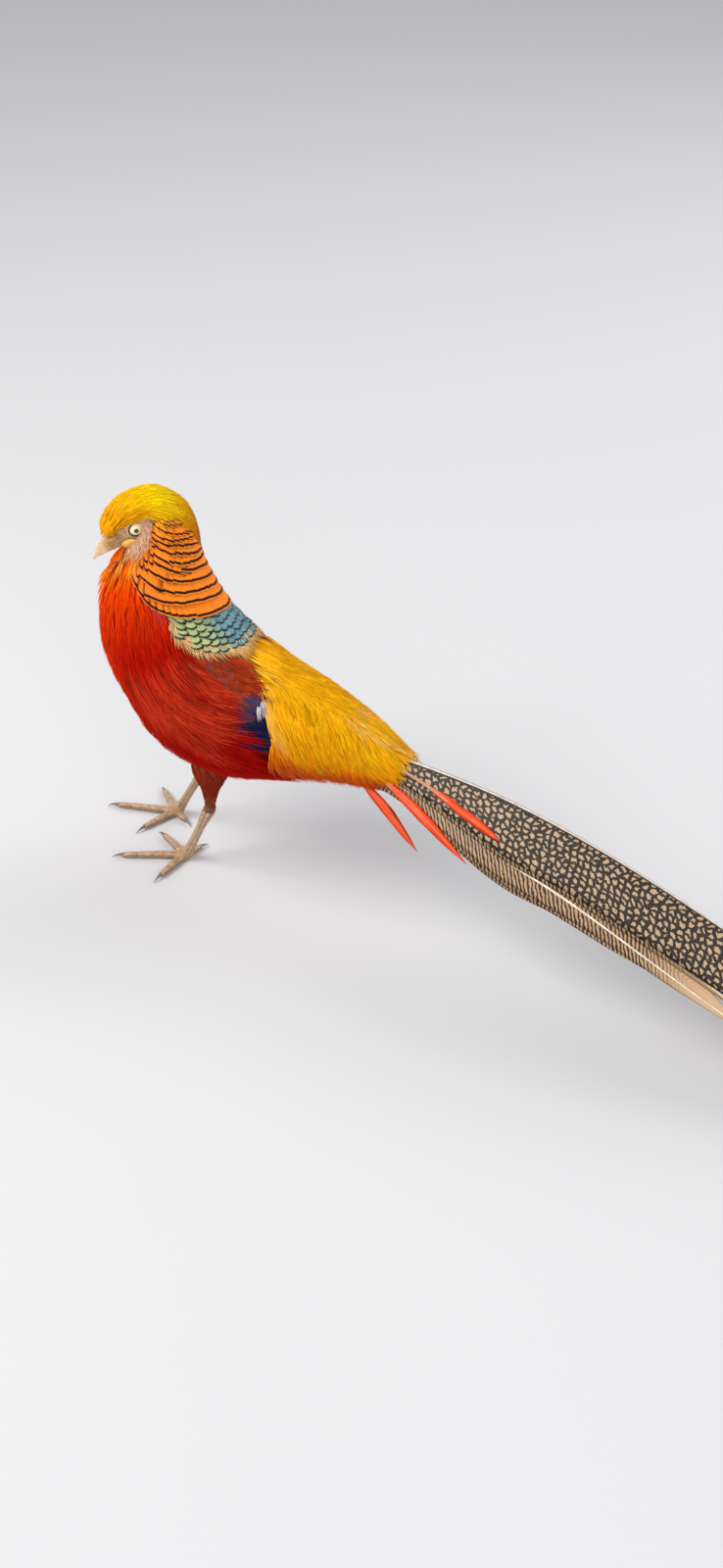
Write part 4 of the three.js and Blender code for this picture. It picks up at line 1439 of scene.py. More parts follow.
        return Mesh.joined([
            grown(self.body, tufted(roots, 2, 0.25, 0.2, chance), FINE_STRAND, straight),
            grown(self.body, tufted(beard, 8, 0.3, 0.25, chance), FINE_STRAND, straight),
        ])

    def red_flow(self, u: Array, v: Array) -> Array:
        """The lie of the breast and flanks."""
        angle = turned(v)
        side = np.sign(wrapped(v))
        back = smooth(angle, 82, 100) * (1 - smooth(angle, 128, 150)) * smooth(u, 6.0, 7.6)
        return side * radians(24) * back

    def red(self, side: int) -> Mesh:
        """Strands of the breast, flank and belly on one side.

        Args:
            side: 1 for the left, -1 for the right.

        Returns:
            One mesh.
        """
        marks, chance = self.marks, self.chance

        def keep(u: Array, v: Array) -> Array:
            """Marks the places below the red's upper edge, but for the chin."""
            top = read(marks.red_top, u)
            if side < 0:
                stretched = read(marks.cape_front_right, u) - 6
                shy = 14 * smooth(u, 3.4, 4.2) * (1 - smooth(u, 6.4, 7.4))
                top = np.where(u > 3.0, top + shy, np.maximum(top, stretched))
            return (turned(v) > top) & ~marks.on_face(u, side * v, -0.05)

        u, v = scattered(self.body, self.breast_spacing, (0.25, 0.0), (11.6, pi), keep, 0.3)
        v = side * v
        free = ~self.skull.holds(self.body.point(u, v, 0.0), -0.5)
        u, v = u[free], v[free]
        angle = turned(v)
        length = mix(15.0, 26.0, smooth(u, 1.0, 4.0)) + 8 * smooth(u, 5.0, 8.0)
        long = smooth(u, 5.0, 6.2) * (1 - smooth(u, 7.6, 8.6)) * (1 - smooth(angle, 104, 128))
        length = (length + 16 * long) * mix(1.0, 0.62, smooth(u, 8.6, 10.5))
        hang = smooth(angle, 94, 112) * smooth(u, 5.4, 6.4) * (1 - smooth(u, 8.2, 9.2))
        length = length + 12 * hang
        bulge = 6.5 * smooth(angle, 96, 134) * (1 - smooth(u, 1.4, 2.9))
        high = 0.5 + 2.0 * long + 6.0 * hang + bulge + chance.uniform(0, 0.5, len(u))
        tint = tinted(marks.red(u, v), marks.cheek, 0.5 * marks.on_face(u, v, 0.12))
        tint = tint * shades(chance, 0.09, len(u))
        tips = np.clip(tint * (1.15 + 0.3 * long[:, None]) * np.array([1, 1.3, 1]), 0, 1)
        length = length * chance.uniform(0.85, 1.15, len(u))
        turn = chance.normal(0, 0.05, len(u))
        roots = roots_at(u, v, length, 0.9, (0.5 * bulge - 2.0, high), tint, tips, turn=turn)
        return grown(self.body, tufted(roots, 8, 0.17, 0.25, chance), FINE_STRAND, self.red_flow)

    def flank(self, side: int) -> Mesh:
        """Long loose locks from the shoulder, laid back over the wing.

        Args:
            side: 1 for the left, -1 for the right.

        Returns:
            One mesh.
        """
        chance = self.chance
        count = self.flank_locks
        places = evenly(count, (4.9, 48.0 if side > 0 else 64.0), (7.2, 112.0))
        u, angle = places[:, 0], places[:, 1]
        v = side * np.radians(angle)
        # Each lock's root colour is dimmed at random, down to a fifth: partly tone that differs at
        # random, partly painted shade between the locks.
        tint = self.marks.red(u, v) * chance.uniform(0.2, 1.15, count)[:, None]
        length = 50 + 26 * smooth(angle, 56, 84) - 8 * (u - 4.7)
        bright = chance.uniform(0.1, 1, count)[:, None]
        tips = np.clip(mix(tint * 1.2, np.array([0.98, 0.08, 0.025]), bright), 0, 1)
        roots = roots_at(
            u, v, length * chance.uniform(0.7, 1.15, count), 0.8,
            (-2.0, (3.0 if side > 0 else 1.4) + chance.uniform(0, 2.2, count)), tint, tips,
            turn=side * (chance.normal(0, 0.09, count) - 0.12 * (1 - smooth(angle, 60, 84))),
        )
        return grown(self.body, tufted(roots, 7, 0.1, 0.22, chance), LONG_STRAND, self.red_flow)

    def gold_flow(self, u: Array, v: Array) -> Array:
        """The lie of the rump: back along the ridge, and down the sides."""
        angle = turned(v)
        side = np.sign(wrapped(v))
        low = 1 - 0.4 * smooth(angle, 84, 112)
        droop = smooth(angle, 4, 36) * low * (1 - 0.62 * smooth(u, 10.6, 12.2))
        return side * radians(49) * droop

    def rump(self, side: int) -> Mesh:
        """Golden strands over one side of the rump.

        Args:
            side: 1 for the left, -1 for the right.

        Returns:
            One mesh.
        """
        marks, chance = self.marks, self.chance

        def keep(u: Array, v: Array) -> Array:
            """Marks the places behind the gold's edge and above the vent."""
            angle = np.degrees(v)
            start = read(marks.gold_edge, side * angle)
            return (u > start) & (angle < mix(96.0, 88.0, smooth(u, 11, 12.4)))

        u, v = scattered(self.body, self.rump_spacing, (6.7, 0.0), (12.2, radians(120)), keep, 0.7)
        hem = evenly(120, (9.15, 74.0), (11.6, 94.0))
        free = np.r_[0 * u, 0 * hem[:, 0] + 1]
        u, v = np.r_[u, hem[:, 0]], side * np.r_[v, np.radians(hem[:, 1])]
        angle = turned(v)
        inside = u - read(marks.gold_edge, np.degrees(v))
        near = 1 - smooth(inside, 0.2, 1.4)
        length = mix(42.0, 25.0, smooth(u, 9.5, 12.0)) * chance.uniform(0.85, 1.12, len(u))
        length = length * mix(1.0, 0.72, smooth(angle, 78, 104)) * mix(1, 0.72, free)
        tint = marks.gold(v) * shades(chance, 0.13, len(u))
        edge = 0.25 * (1 - smooth(inside, 0.0, 0.2)) * (angle < 60)
        tint = tinted(tint, marks.cream, edge)
        straw = 0.6 * (chance.random(len(u)) > 0.8) * (np.degrees(v) < 14) * (u > 9.8)
        tint = tinted(tint, marks.cream, straw)
        tips = np.clip(tint * np.array([1.05, 1.12, 1.0]), 0, 1)
        tips = tinted(tips, marks.gold_tip, np.maximum(smooth(angle, 62, 84), free))
        rear = smooth(u, 10.8, 11.8)
        high = 0.9 + (4.2 if side > 0 else 3.4) * near * smooth(angle, 20, 48)
        high = high + chance.uniform(0, 0.9, len(u)) + 2.5 * free - 0.9 * rear
        low = mix(-3.2, 0.2, near * smooth(angle, 24, 50)) + 0.8 * free - rear
        turn = chance.normal(0, 0.06, len(u)) + side * free * chance.normal(0.5, 0.14, len(u))
        roots = roots_at(u, v, length, 0.8, (low, high), tint, tips, turn=turn)
        return grown(self.body, tufted(roots, 7, 0.13, 0.25, chance), RISING_STRAND, self.gold_flow)


@dataclass
class HeadPlumage:
    """Crest, and the short feathers and bristles of the face.

    The limit is how many degrees from the middle the crest reaches, against shares of its length,
    and eye_room the radius round the eye that stays free of bristles.
    """

    crest_surface: CrestSurface
    skull: SkullSurface
    seed: int = 5
    spacing: float = 2.0
    eye_room: float = 6.8
    limit: Table = (
        (0, 0.05, 0.19, 0.35, 0.56, 0.7, 0.8, 0.93, 1.0), (118, 121, 114, 101, 83, 66, 55, 34, 26),
    )
    top: Colour = (1.0, 0.65, 0.001)
    front: Colour = (0.99, 0.43, 0.001)
    nape: Colour = (0.70, 0.20, 0.001)
    # The nape's colour is a deeper orange with painted shade on the back of the crest.
    brow: Colour = (0.86, 0.34, 0.001)

    def __post_init__(self) -> None:
        """Starts the random numbers."""
        self.chance = np.random.default_rng(self.seed)

    def reach(self, u: Array) -> Array:
        """How far round the crest goes, in radians."""
        return np.radians(read(self.limit, u))

    def crest_flow(self, u: Array, v: Array) -> Array:
        """The lie of the crest, drawn together towards the nape."""
        share = np.clip(np.abs(v) / self.reach(u), 0, 1)
        return -np.sign(v) * share * mix(0.15, 0.3, smooth(u, 0.4, 0.6))

    def crest(self) -> Mesh:
        """Silky strands from the forehead to the nape."""
        chance = self.chance
        keep = lambda u, v: np.abs(v) < self.reach(u)
        u, v = scattered(self.crest_surface, self.spacing, (-0.01, -2.15), (0.87, 2.15), keep)
        tint = tinted(self.front, self.top, smooth(u, 0.05, 0.3))
        # Towards the nape the strands take painted shade, with a deeper orange.
        tint = tinted(tint, self.nape, smooth(u, 0.34, 0.72))
        tint = tinted(tint, self.brow, 0.5 * smooth(np.abs(v), 1.0, 1.7))
        tint = tint * shades(chance, 0.06, len(u))
        length = mix(16.0, 36.0, smooth(u, 0.0, 0.3)) * mix(1.0, 0.74, smooth(u, 0.6, 0.86))
        brow = smooth(np.abs(v), 1.4, 1.8) * (1 - smooth(u, 0.3, 0.5))
        length = length * mix(1.0, 0.6, brow) * chance.uniform(0.85, 1.1, len(u))
        low = mix(-0.9, -3.6, smooth(u, 0.0, 0.12)) + 3.4 * smooth(u, 0.42, 0.74)
        high = -0.2 + 3.4 * smooth(u + 0.2, 0.42, 0.74)
        turn = chance.normal(0, 0.035, len(u))
        roots = roots_at(u, v, length, 0.75, (low, high), tint, tint * 1.06, turn=turn)
        tufts = tufted(roots, 5, 0.07, 0.15, chance)
        return grown(self.crest_surface, tufts, SILK_STRAND, self.crest_flow)

    def face(self) -> Mesh:
        """Bristles round the bill, the eyes and the cheeks."""
        chance, head = self.chance, self.skull.head

        def keep(u: Array, v: Array) -> Array:
            """Marks the places round the eyes' bare skin and ahead of the ears."""
            local = head.to_head(self.skull.point(u, v, 0.0))
            eye = np.c_[np.abs(local[:, 0]) - (head.eye[0] + 4.4), local[:, 1:]]
            return (np.linalg.norm(eye, axis=-1) > self.eye_room) & (local[:, 1] < 21)

        u, v = scattered(self.skull, 1.2, (0.3, radians(50)), (2.2, radians(180)), keep)
        u, v = np.tile(u, 2), np.concatenate([v, -v])
        lores = 1 - smooth(u, 0.8, 1.25)
        base = tinted((0.80, 0.48, 0.32), (0.86, 0.52, 0.24), lores)
        pale = chance.random(len(u)) > 0.6
        base[pale] = (0.88, 0.72, 0.46)
        length = mix(3.0, 4.6, lores) * chance.uniform(0.7, 1.3, len(u)) * mix(0.7, 1.0, lores)
        base = base * shades(chance, 0.1, len(u))
        turn = chance.normal(0, 0.3, len(u))
        roots = roots_at(u, v, length, 0.34, (-0.5, 0.6), base, turn=turn)
        path = head.to_body([(0, -28, -4.4), (0, -19, -3.0), (0, -9, -1.8)])
        snout = LimbSurface(path, (5.0, 6.8, 8.0), head.matrix() @ UP)
        places = evenly(420, (0.0, 22.0), (1.0, 158.0))
        edge = 0.34 * smooth(np.abs(places[:, 1] - 80), 10, 60) * (places[:, 1] < 80)
        places = places[places[:, 0] > edge]
        u, v = np.tile(places[:, 0], 2), np.radians(np.r_[places[:, 1], -places[:, 1]])
        warm = tinted((0.50, 0.27, 0.13), (0.88, 0.56, 0.26), chance.random(len(u)))
        length = 5.0 * chance.uniform(0.7, 1.3, len(u))
        turn = chance.normal(0, 0.25, len(u))
        short = roots_at(u, v, length, 0.42, (-0.1, 1.1), warm, turn=turn)
        return Mesh.joined([
            grown(self.skull, roots, FINE_STRAND, straight),
            grown(snout, tufted(short, 2, 0.2, 0.2, chance), FINE_STRAND, straight),
        ])


@dataclass
class Wing:
    """One folded wing: coverts over blue and black flight feathers.

    The side is 1 for the left and -1 for the right, whose vanes start lower and lie deeper.
    """

    body: BodySurface
    side: int
    seed: int = 8
    maroon: Colour = (0.20, 0.026, 0.010)
    dusk: Colour = (0.15, 0.022, 0.010)
    blue: Colour = (0.018, 0.014, 0.055)
    black: Colour = (0.010, 0.008, 0.014)

    def vanes(
        self,
        stations: tuple[float, float],
        angles: tuple[float, float],
        count: int,
        length: tuple[float, float],
        ends: tuple[float, float],
        lift: tuple[float, float],
        width: float,
        tint: Colour,
        shape: Shape,
    ) -> Mesh:
        """Lays a fan of vanes over the wing.

        Args:
            stations: Stations of the first and last root.
            angles: Their degrees from the back.
            count: Number of vanes.
            length: Lengths of the first and last, in millimetres.
            ends: Degrees from the back that their tips reach.
            lift: Heights of roots and tips.
            width: Width in millimetres.
            tint: Their colour.
            shape: Their outline.

        Returns:
            One mesh.
        """
        chance = np.random.default_rng(self.seed + count)
        share = np.linspace(0, 1, count)
        u = mix(*stations, share)
        v = np.radians(mix(*angles, share)) * self.side
        long = mix(*length, share)
        drift = np.radians(mix(*ends, share)) * self.side - v
        rows = np.array(tint) * shades(chance, 0.1, count)
        turn = np.arctan2(drift * 52, long) + chance.normal(0, 0.03, count)
        heights = (lift[0], lift[1] + 0.15 * share)
        roots = roots_at(u, v, long, width, heights, rows, rows * 1.1, turn=turn)
        return grown(self.body, roots, shape, straight)

    def mesh(self) -> Mesh:
        """All the vanes of the wing."""
        high, sunk, short = (47, 0.0, 50) if self.side > 0 else (61, 1.8, 36)
        parts = [
            self.vanes(
                (6.7, 6.3), (high + 5, 94), 6, (short + 2, 78), (high + 3, 78),
                (-1.5 - sunk, 0.7 - sunk), 14, self.black, LONG_VANE,
            ),
            self.vanes(
                (6.6, 6.4), (high, 84), 6, (short, 70), (high - 2, 76),
                (-1.2 - sunk, 1.2 - sunk), 14, self.blue, LONG_VANE,
            ),
        ]
        for row in range(6):
            start = 5.1 + 0.36 * row
            top = 22 + 4.6 * row
            parts.append(self.vanes(
                (start, start), (top, 94 - 3 * row), 11 - row, (30, 28), (top + 3, 94 - 2 * row),
                (-2.2, 0.5 + 0.1 * row), 15, self.maroon if row > 1 else self.dusk, SCALE_VANE,
            ))
        return Mesh.joined(parts)


@dataclass
class Tail:
    """Tail feathers in layers, their shafts, and the spears beside the root.

    Each side feather has its length, and the offsets of its inner edge, shaft and outer edge. Each
    spear has the distance, offset and height of its root and of its tip, and its bare share.
    """

    surface: TailSurface
    seed: int = 31
    layer: float = 1.5
    thick: float = 0.8
    edges: tuple[float, float] = (-15.0, 29.0)
    scarlet: Colour = (0.80, 0.05, 0.002)
    laterals: tuple[tuple[float, float, float, float], ...] = (
        (500, 4, 22, 29.5), (400, 10, 27.5, 38.5), (325, 16, 29, 39.5), (235, 20, 30, 40),
    )
    spears: tuple[tuple[Place, Place, float], ...] = (
        ((30, 17, -4), (87, 24, -40), 0.0),
        ((42, 13, 1), (142, 36, -10), 0.16),
        ((46, 6, 3.5), (162, 23.5, 2.5), 0.58),
    )

    def spread(self, distance: Array) -> Array:
        """How far the tail is spread at distances from its root."""
        return mix(0.36, 1.0, smooth(distance, 20, 190))

    def sheet(self, distance: Array, low: Array, high: Array, height: float, tint: Array) -> Mesh:
        """One feather's vane, from edge to edge.

        Args:
            distance: Distances of its rows along the ridge.
            low: Offset of its inner edge at each row.
            high: Offset of its outer edge at each row.
            height: Height above the sheet.
            tint: Colour at each row.

        Returns:
            One mesh.
        """
        x, z = Shape((), 13).ring().T
        offset = mix(low[:, None], high[:, None], (x / 2 + 0.5)[None])
        far = np.broadcast_to(distance[:, None], offset.shape)
        points = self.surface.point(far, offset, height - self.thick / 2 + z[None] * self.thick)
        floor = 0.12 + (z[None] + 0.5) * 0.5
        points[..., 2] = np.maximum(points[..., 2], floor)
        centre = (low + high)[:, None] / 2
        vane = np.stack([(offset - centre) / 100, far / 100], -1)
        bake = self.surface.chart(far, offset)
        colour = np.broadcast_to(tint[:, None], points.shape)
        return woven(points[None], colour[None], vane[None], bake[None])

    def shaft(
        self, distance: Array, offset: Array, height: float, tint: Colour, width: float
    ) -> Mesh:
        """One feather's shaft, thinner towards its tip."""
        count = 8
        turn = np.arange(count) / count * 2 * pi
        half = width / 2 * mix(1.0, 0.22, np.linspace(0, 1, len(distance)))
        across = offset[:, None] + half[:, None] * np.cos(turn)
        rise = height + half[:, None] * 0.8 * np.sin(turn)
        far = np.broadcast_to(distance[:, None], across.shape)
        points = self.surface.point(far, across, rise)
        points[..., 2] = np.maximum(points[..., 2], 0.5 + 0.3 * np.sin(turn))
        vane = np.stack([across / 100, far / 100], -1)
        colour = np.broadcast_to(tint, points.shape)
        return woven(points[None], colour[None], vane[None], self.surface.chart(far, across)[None])

    def central(self) -> tuple[Mesh, Mesh]:
        """The two middle feathers and their shafts."""
        vanes, shafts = [], []
        total = self.surface.length
        for side, share, layer in ((1, 1.0, 0), (-1, 0.93, 1)):
            distance = np.linspace(3, total * share, 150)
            scale = self.spread(distance) * mix(1.0, 0.15, smooth(distance, 330, total))
            low, high = (side * edge * scale for edge in self.edges)
            tint = np.broadcast_to((0.46, 0.31, 0.185), (len(distance), 3))
            height = -layer * self.layer
            vanes.append(self.sheet(distance, low, high, height + 0.4, tint))
            reach = np.linspace(3, total * share - 1, 120)
            middle = 0 * reach + side * 0.8
            shafts.append(self.shaft(reach, middle, height + 0.4, (0.05, 0.035, 0.028), 2.6))
            shafts.append(self.shaft(reach, middle, height + 1.0, (0.70, 0.62, 0.52), 1.2))
        return Mesh.joined(vanes), Mesh.joined(shafts)

    def sides(self) -> tuple[Mesh, Mesh]:
        """The shorter feathers under the middle ones and their shafts."""
        vanes, shafts = [], []
        for side in (1, -1):
            for i, (length, inner, shaft, outer) in enumerate(self.laterals):
                distance = np.linspace(3, length, 90)
                share = distance / length
                middle = shaft + 7.5 * smooth(share, 0.3, 0.9)
                low = mix(inner, middle - 0.6, smooth(share, 0.62, 1.01))
                high = mix(outer, middle + 0.6, smooth(share, 0.8, 1.01))
                tip = smooth(share, 0.66, 0.95)
                tint = tinted((0.44, 0.27, 0.14), (0.56, 0.36, 0.20), tip)
                tint = tinted(tint, (0.80, 0.72, 0.62), smooth(share, 0.93, 1.0))
                spread = side * self.spread(distance)
                height = -(i + 2) * self.layer
                vanes.append(
                    self.sheet(distance, spread * low, spread * high, height + 0.4, tint)
                )
                shafts.append(
                    self.shaft(distance, spread * middle, height + 0.8, (0.88, 0.78, 0.60), 2.2)
                )
        return Mesh.joined(vanes), Mesh.joined(shafts)

    def spear(
        self, side: int, start: Array, end: Array, width: float, bare: float, tint: Colour
    ) -> Mesh:
        """A narrow, pointed feather beside the tail's root, buff before it turns scarlet.

        Args:
            side: 1 for the left, -1 for the right.
            start: Distance, offset and height of its root.
            end: Distance, offset and height of its tip.
            width: Width in millimetres.
            bare: Share of its length that is a thin buff shaft.
            tint: Colour of its vane.

        Returns:
            One mesh.
        """
        share = np.linspace(0, 1, 18)
        first, last = (
            self.surface.point(np.array([far]), np.array([side * offset]), height)[0]
            for far, offset, height in (start, end)
        )
        middle = (first + last) / 2 + np.array([side * 2, 0, 8])
        line = Spline([first, 0.25 * first + 0.5 * middle + 0.25 * last, last])
        spine, along = line.at(share), line.slope(share)
        out = np.array([side * 0.75, 0, 0.66])
        across = unit(np.cross(along, out))
        normal = np.cross(across, along)
        x, z = Shape((), 7).ring().T
        full = np.clip((share - bare) / (1 - bare), 0, 1)
        wide = np.interp(full, [0, 0.2, 0.5, 0.85, 1], [0.16, 0.8, 1.0, 0.5, 0.05]) * width / 2
        fold = 0.30 * np.abs(x) * wide[:, None]
        points = (
            spine[:, None] + across[:, None] * (wide[:, None] * x)[..., None]
            + normal[:, None] * (z * 0.8 - fold)[..., None]
        )
        tone = tinted((0.62, 0.36, 0.20), tint, smooth(full, 0.0, 0.1))[:, None]
        core = (np.abs(x) < 0.12)[None, :, None] & (z > 0)[None, :, None]
        tone = np.where(core, tone * 0.4 + (0.42, 0.14, 0.06), tone)
        vane = np.stack(np.broadcast_arrays((x / 2 + 0.5)[None], share[:, None]), -1)
        root = self.surface.chart(np.array([start[0]]), np.array([side * start[1]]))[0]
        return woven(points[None], tone[None], vane[None], (root + (vane - 0.5) * 0.02)[None])

    def spear_meshes(self) -> Mesh:
        """All the spears, scarlet with a paler shaft."""
        chance = np.random.default_rng(self.seed)
        parts = []
        for side in (1, -1):
            sunk = np.array([0, 0, 0.0 if side > 0 else -9.0])
            for start, end, bare in self.spears:
                start = np.array(start)
                for copy in range(4):
                    jitter = chance.normal(0, 1, 3) * (2, 1.2, 1.0) * (copy > 0)
                    tip = start + (end + jitter - start) * (1 - 0.12 * copy) + sunk
                    base = start + jitter * 0.4 + sunk
                    parts.append(self.spear(side, base, tip, 7.6 - copy, bare, self.scarlet))
        return Mesh.joined(parts)


# Skin, head and legs


def sided(left: object, right: object) -> dict:
    """A field with one value for each side."""
    return field(default_factory=lambda: {"left": left, "right": right})


@dataclass
class Legs:
    """Thighs, tarsi and feet, in millimetres.

    The feet are where their toes meet on the floor, the headings where they point, in degrees to
    the left. Each toe has its degrees outwards from the heading, and its length.
    """

    feet: dict[str, tuple[float, float]] = sided((25, 18), (-26, -20))
    ankles: dict[str, Place] = sided((27, 46, 61), (-25, 14, 61))
    hips: dict[str, Place] = sided((24, 48, 108), (-24, 22, 118))
    headings: dict[str, float] = sided(28, 11)
    toes: tuple[tuple[str, float, float], ...] = (
        ("inner", -57, 34), ("middle", -3, 52), ("outer", 54, 33), ("hind", -140, 16),
    )
    thigh_radii: tuple[float, ...] = (21, 20, 15.5, 11, 8.8, 7.4)
    tarsus_radii: tuple[float, ...] = (4.9, 5.4, 4.3, 3.6, 3.5, 3.5, 3.7, 4.4)
    toe_radius: float = 3.4
    toe_axis: float = 2.6
    foot_share: float = 0.167
    claw_length: float = 9.0

    def side(self, name: str) -> int:
        """1 for the left, -1 for the right."""
        return 1 if name == "left" else -1

    def ball(self, name: str) -> Array:
        """The middle of the foot above the toes."""
        foot = np.array([*self.feet[name], 0.0])
        return mix(foot, np.array(self.ankles[name]), self.foot_share)

    def thigh(self, name: str, grow: float = 0.0) -> LimbSurface:
        """The thigh's surface."""
        hip, ankle = np.array(self.hips[name], float), np.array(self.ankles[name], float)
        radii = np.array(self.thigh_radii) + grow
        return LimbSurface([hip, (hip + ankle) / 2, ankle], radii)

    def tarsus(self, name: str) -> LimbSurface:
        """The tarsus's surface."""
        ankle, ball = np.array(self.ankles[name], float), self.ball(name)
        over = ankle + (ankle - ball) * 0.06
        return LimbSurface([over, (ankle + ball) / 2, ball], self.tarsus_radii)

    def ahead(self, name: str, turn: float) -> Array:
        """The level direction of a toe."""
        angle = radians(self.headings[name] + self.side(name) * turn)
        return np.array([sin(angle), -cos(angle), 0.0])

    def toe(self, name: str, turn: float, length: float) -> LimbSurface:
        """A toe's surface, with a pad at each joint."""
        ahead = self.ahead(name, turn)
        start = np.array([*self.feet[name], self.toe_axis])
        share = np.linspace(0, 1, 25)
        pads = 0.35 * np.abs(np.sin(share * pi * max(round(length / 13), 1)))
        radii = mix(self.toe_radius + 0.3, self.toe_radius - 1.3, share) + pads
        arch = np.sin(share[[0, 12, 24]] * pi) * 0.4
        path = [start + ahead * length * s + np.array([0, 0, a]) for s, a in zip((0, 0.5, 1), arch)]
        return LimbSurface(path, radii, (-ahead[1], ahead[0], 0))


@dataclass
class Skin:
    """One skin over head, body and legs, which the plumage covers.

    The voxel is the size in metres of the grid that joins its parts, and the depth how many
    millimetres it lies under the plumage.
    """

    body: BodySurface
    crest: CrestSurface
    skull: SkullSurface
    legs: Legs
    voxel: float = 0.00125
    depth: float = 2.0
    leg_tint: Colour = (0.44, 0.27, 0.15)
    face_tint: Colour = (0.82, 0.48, 0.31)

    def closed(self, rings: Array) -> tuple[Array, list[Array]]:
        """Points and faces of a closed part, from its rings."""
        flat = np.zeros((1, *rings.shape[:2], 2))
        mesh = woven(rings[None], rings[None], flat, flat)
        return mesh.points, mesh.faces

    def tube(
        self, surface: Surface, shares: Array, height: Array | float, sides: int
    ) -> tuple[Array, list[Array]]:
        """A closed tube over a surface that goes all round.

        Args:
            surface: The surface.
            shares: First coordinates of the rings.
            height: Height above it, for each ring or for all.
            sides: Points in a ring.

        Returns:
            Points and faces.
        """
        v = np.arange(sides) / sides * 2 * pi
        u = np.broadcast_to(shares[:, None], (len(shares), sides))
        rise = np.broadcast_to(np.asarray(height, float).reshape(-1, 1), u.shape)
        return self.closed(surface.point(u, np.broadcast_to(v, u.shape), rise))

    def parts(self) -> list[tuple[Array, list[Array]]]:
        """The closed parts that the skin is joined from."""
        sides = 40
        stations = np.linspace(0, 13.4, 70)
        depth = self.depth + 2.2 * smooth(stations, 6.8, 7.6)
        found = [self.tube(self.body, stations, -depth, sides)]
        found.append(self.tube(self.skull, np.linspace(0.03, pi - 0.03, 24), -0.4, sides))
        share = np.linspace(0, 0.95, 30)
        angle = np.radians(np.linspace(-84, 84, 24))
        grid = np.broadcast_arrays(share[:, None], angle[None])
        upper = self.crest.point(*grid, -4.0)
        lower = self.crest.point(*grid, -7.5)[:, ::-1]
        found.append(self.closed(np.concatenate([upper, lower], 1)))
        for name in self.legs.feet:
            even = np.linspace(0, 1, 20)
            found.append(self.tube(self.legs.thigh(name, -5.2), even, 0.0, 24))
            found.append(self.tube(self.legs.tarsus(name), np.linspace(0, 1.02, 30), -0.25, 24))
            ball = self.legs.ball(name)
            low = np.array([*self.legs.feet[name], 3.9])
            high = ball + (ball - low) * 0.1
            knob = LimbSurface([low, (low + ball) / 2, high], (5.2, 6.2, 4.6))
            found.append(self.tube(knob, np.linspace(-0.02, 1, 6), -0.2, 20))
            for _, turn, length in self.legs.toes:
                toe = self.legs.toe(name, turn, length)
                points, faces = self.tube(toe, np.linspace(0, 1.01, 26), -0.2, 18)
                points[:, 2] = np.maximum(points[:, 2], 0.35)
                found.append((points, faces))
        return found

    def build(self, maker: Maker, finish: Material) -> None:
        """Joins the parts into one skin and gives it the markings of the coat above it.

        Args:
            maker: Makes the object, and holds the coat grown so far.
            finish: The skin's material.
        """
        alone()
        things = []
        for points, faces in self.parts():
            data = bpy.data.meshes.new("part")
            rows = [tuple(face) for group in faces for face in group.tolist()]
            data.from_pydata(maker.stance.to_row(points).tolist(), [], rows)
            thing = bpy.data.objects.new("part", data)
            bpy.context.collection.objects.link(thing)
            thing.select_set(True)
            things.append(thing)
        skin = things[0]
        bpy.context.view_layer.objects.active = skin
        bpy.ops.object.join()
        skin.name = skin.data.name = "skin"
        bpy.ops.object.mode_set(mode="EDIT")
        bpy.ops.mesh.select_all(action="SELECT")
        bpy.ops.mesh.normals_make_consistent(inside=False)
        bpy.ops.object.mode_set(mode="OBJECT")
        remesh = skin.modifiers.new("joined", "REMESH")
        remesh.mode = "VOXEL"
        remesh.voxel_size = self.voxel
        remesh.use_smooth_shade = True
        ease = skin.modifiers.new("eased", "SMOOTH")
        ease.factor = 0.5
        ease.iterations = 4
        for name in ("joined", "eased"):
            bpy.ops.object.modifier_apply(modifier=name)
        self.tint(skin, maker)
        skin.data.materials.clear()
        skin.data.materials.append(finish)
        names = ["head", "neck", "torso", "rump"]
        limbs = ("thigh", "tarsus", "foot")
        names += [f"{part}_{side}" for side in self.legs.feet for part in limbs]
        maker.dress(skin, "breast", names)
        log.info("skin: %d points", len(skin.data.vertices))

    def tint(self, skin: Thing, maker: Maker) -> None:
        """Colours each point of the skin as the nearest feather above it, darkened as painted shade
        under the coat, or as bare skin.
        """
        places = points_of(skin.data) / MM - maker.stance.shift
        roots = np.vstack([mesh.points[::41] for mesh in maker.grown])
        colours = np.vstack([mesh.tint[::41] for mesh in maker.grown])
        tree = KDTree(len(roots))
        for i, root in enumerate(roots):
            tree.insert(Vector(root), i)
        tree.balance()
        found = np.array([tree.find(Vector(place))[1:] for place in places])
        # The coat's colour, darkened by a quarter as painted shade under the coat.
        tint = colours[found[:, 0].astype(int)] * 0.75
        local = self.skull.head.to_head(places)
        face = (found[:, 1] > 6) & (np.linalg.norm(local, axis=-1) < 40)
        face |= (np.linalg.norm(local - (0, -2, -4), axis=-1) < 19) & (local[:, 2] < 7)
        tint[face] = self.face_tint
        tint[places[:, 2] < 58] = self.leg_tint
        colour(skin.data, tint)


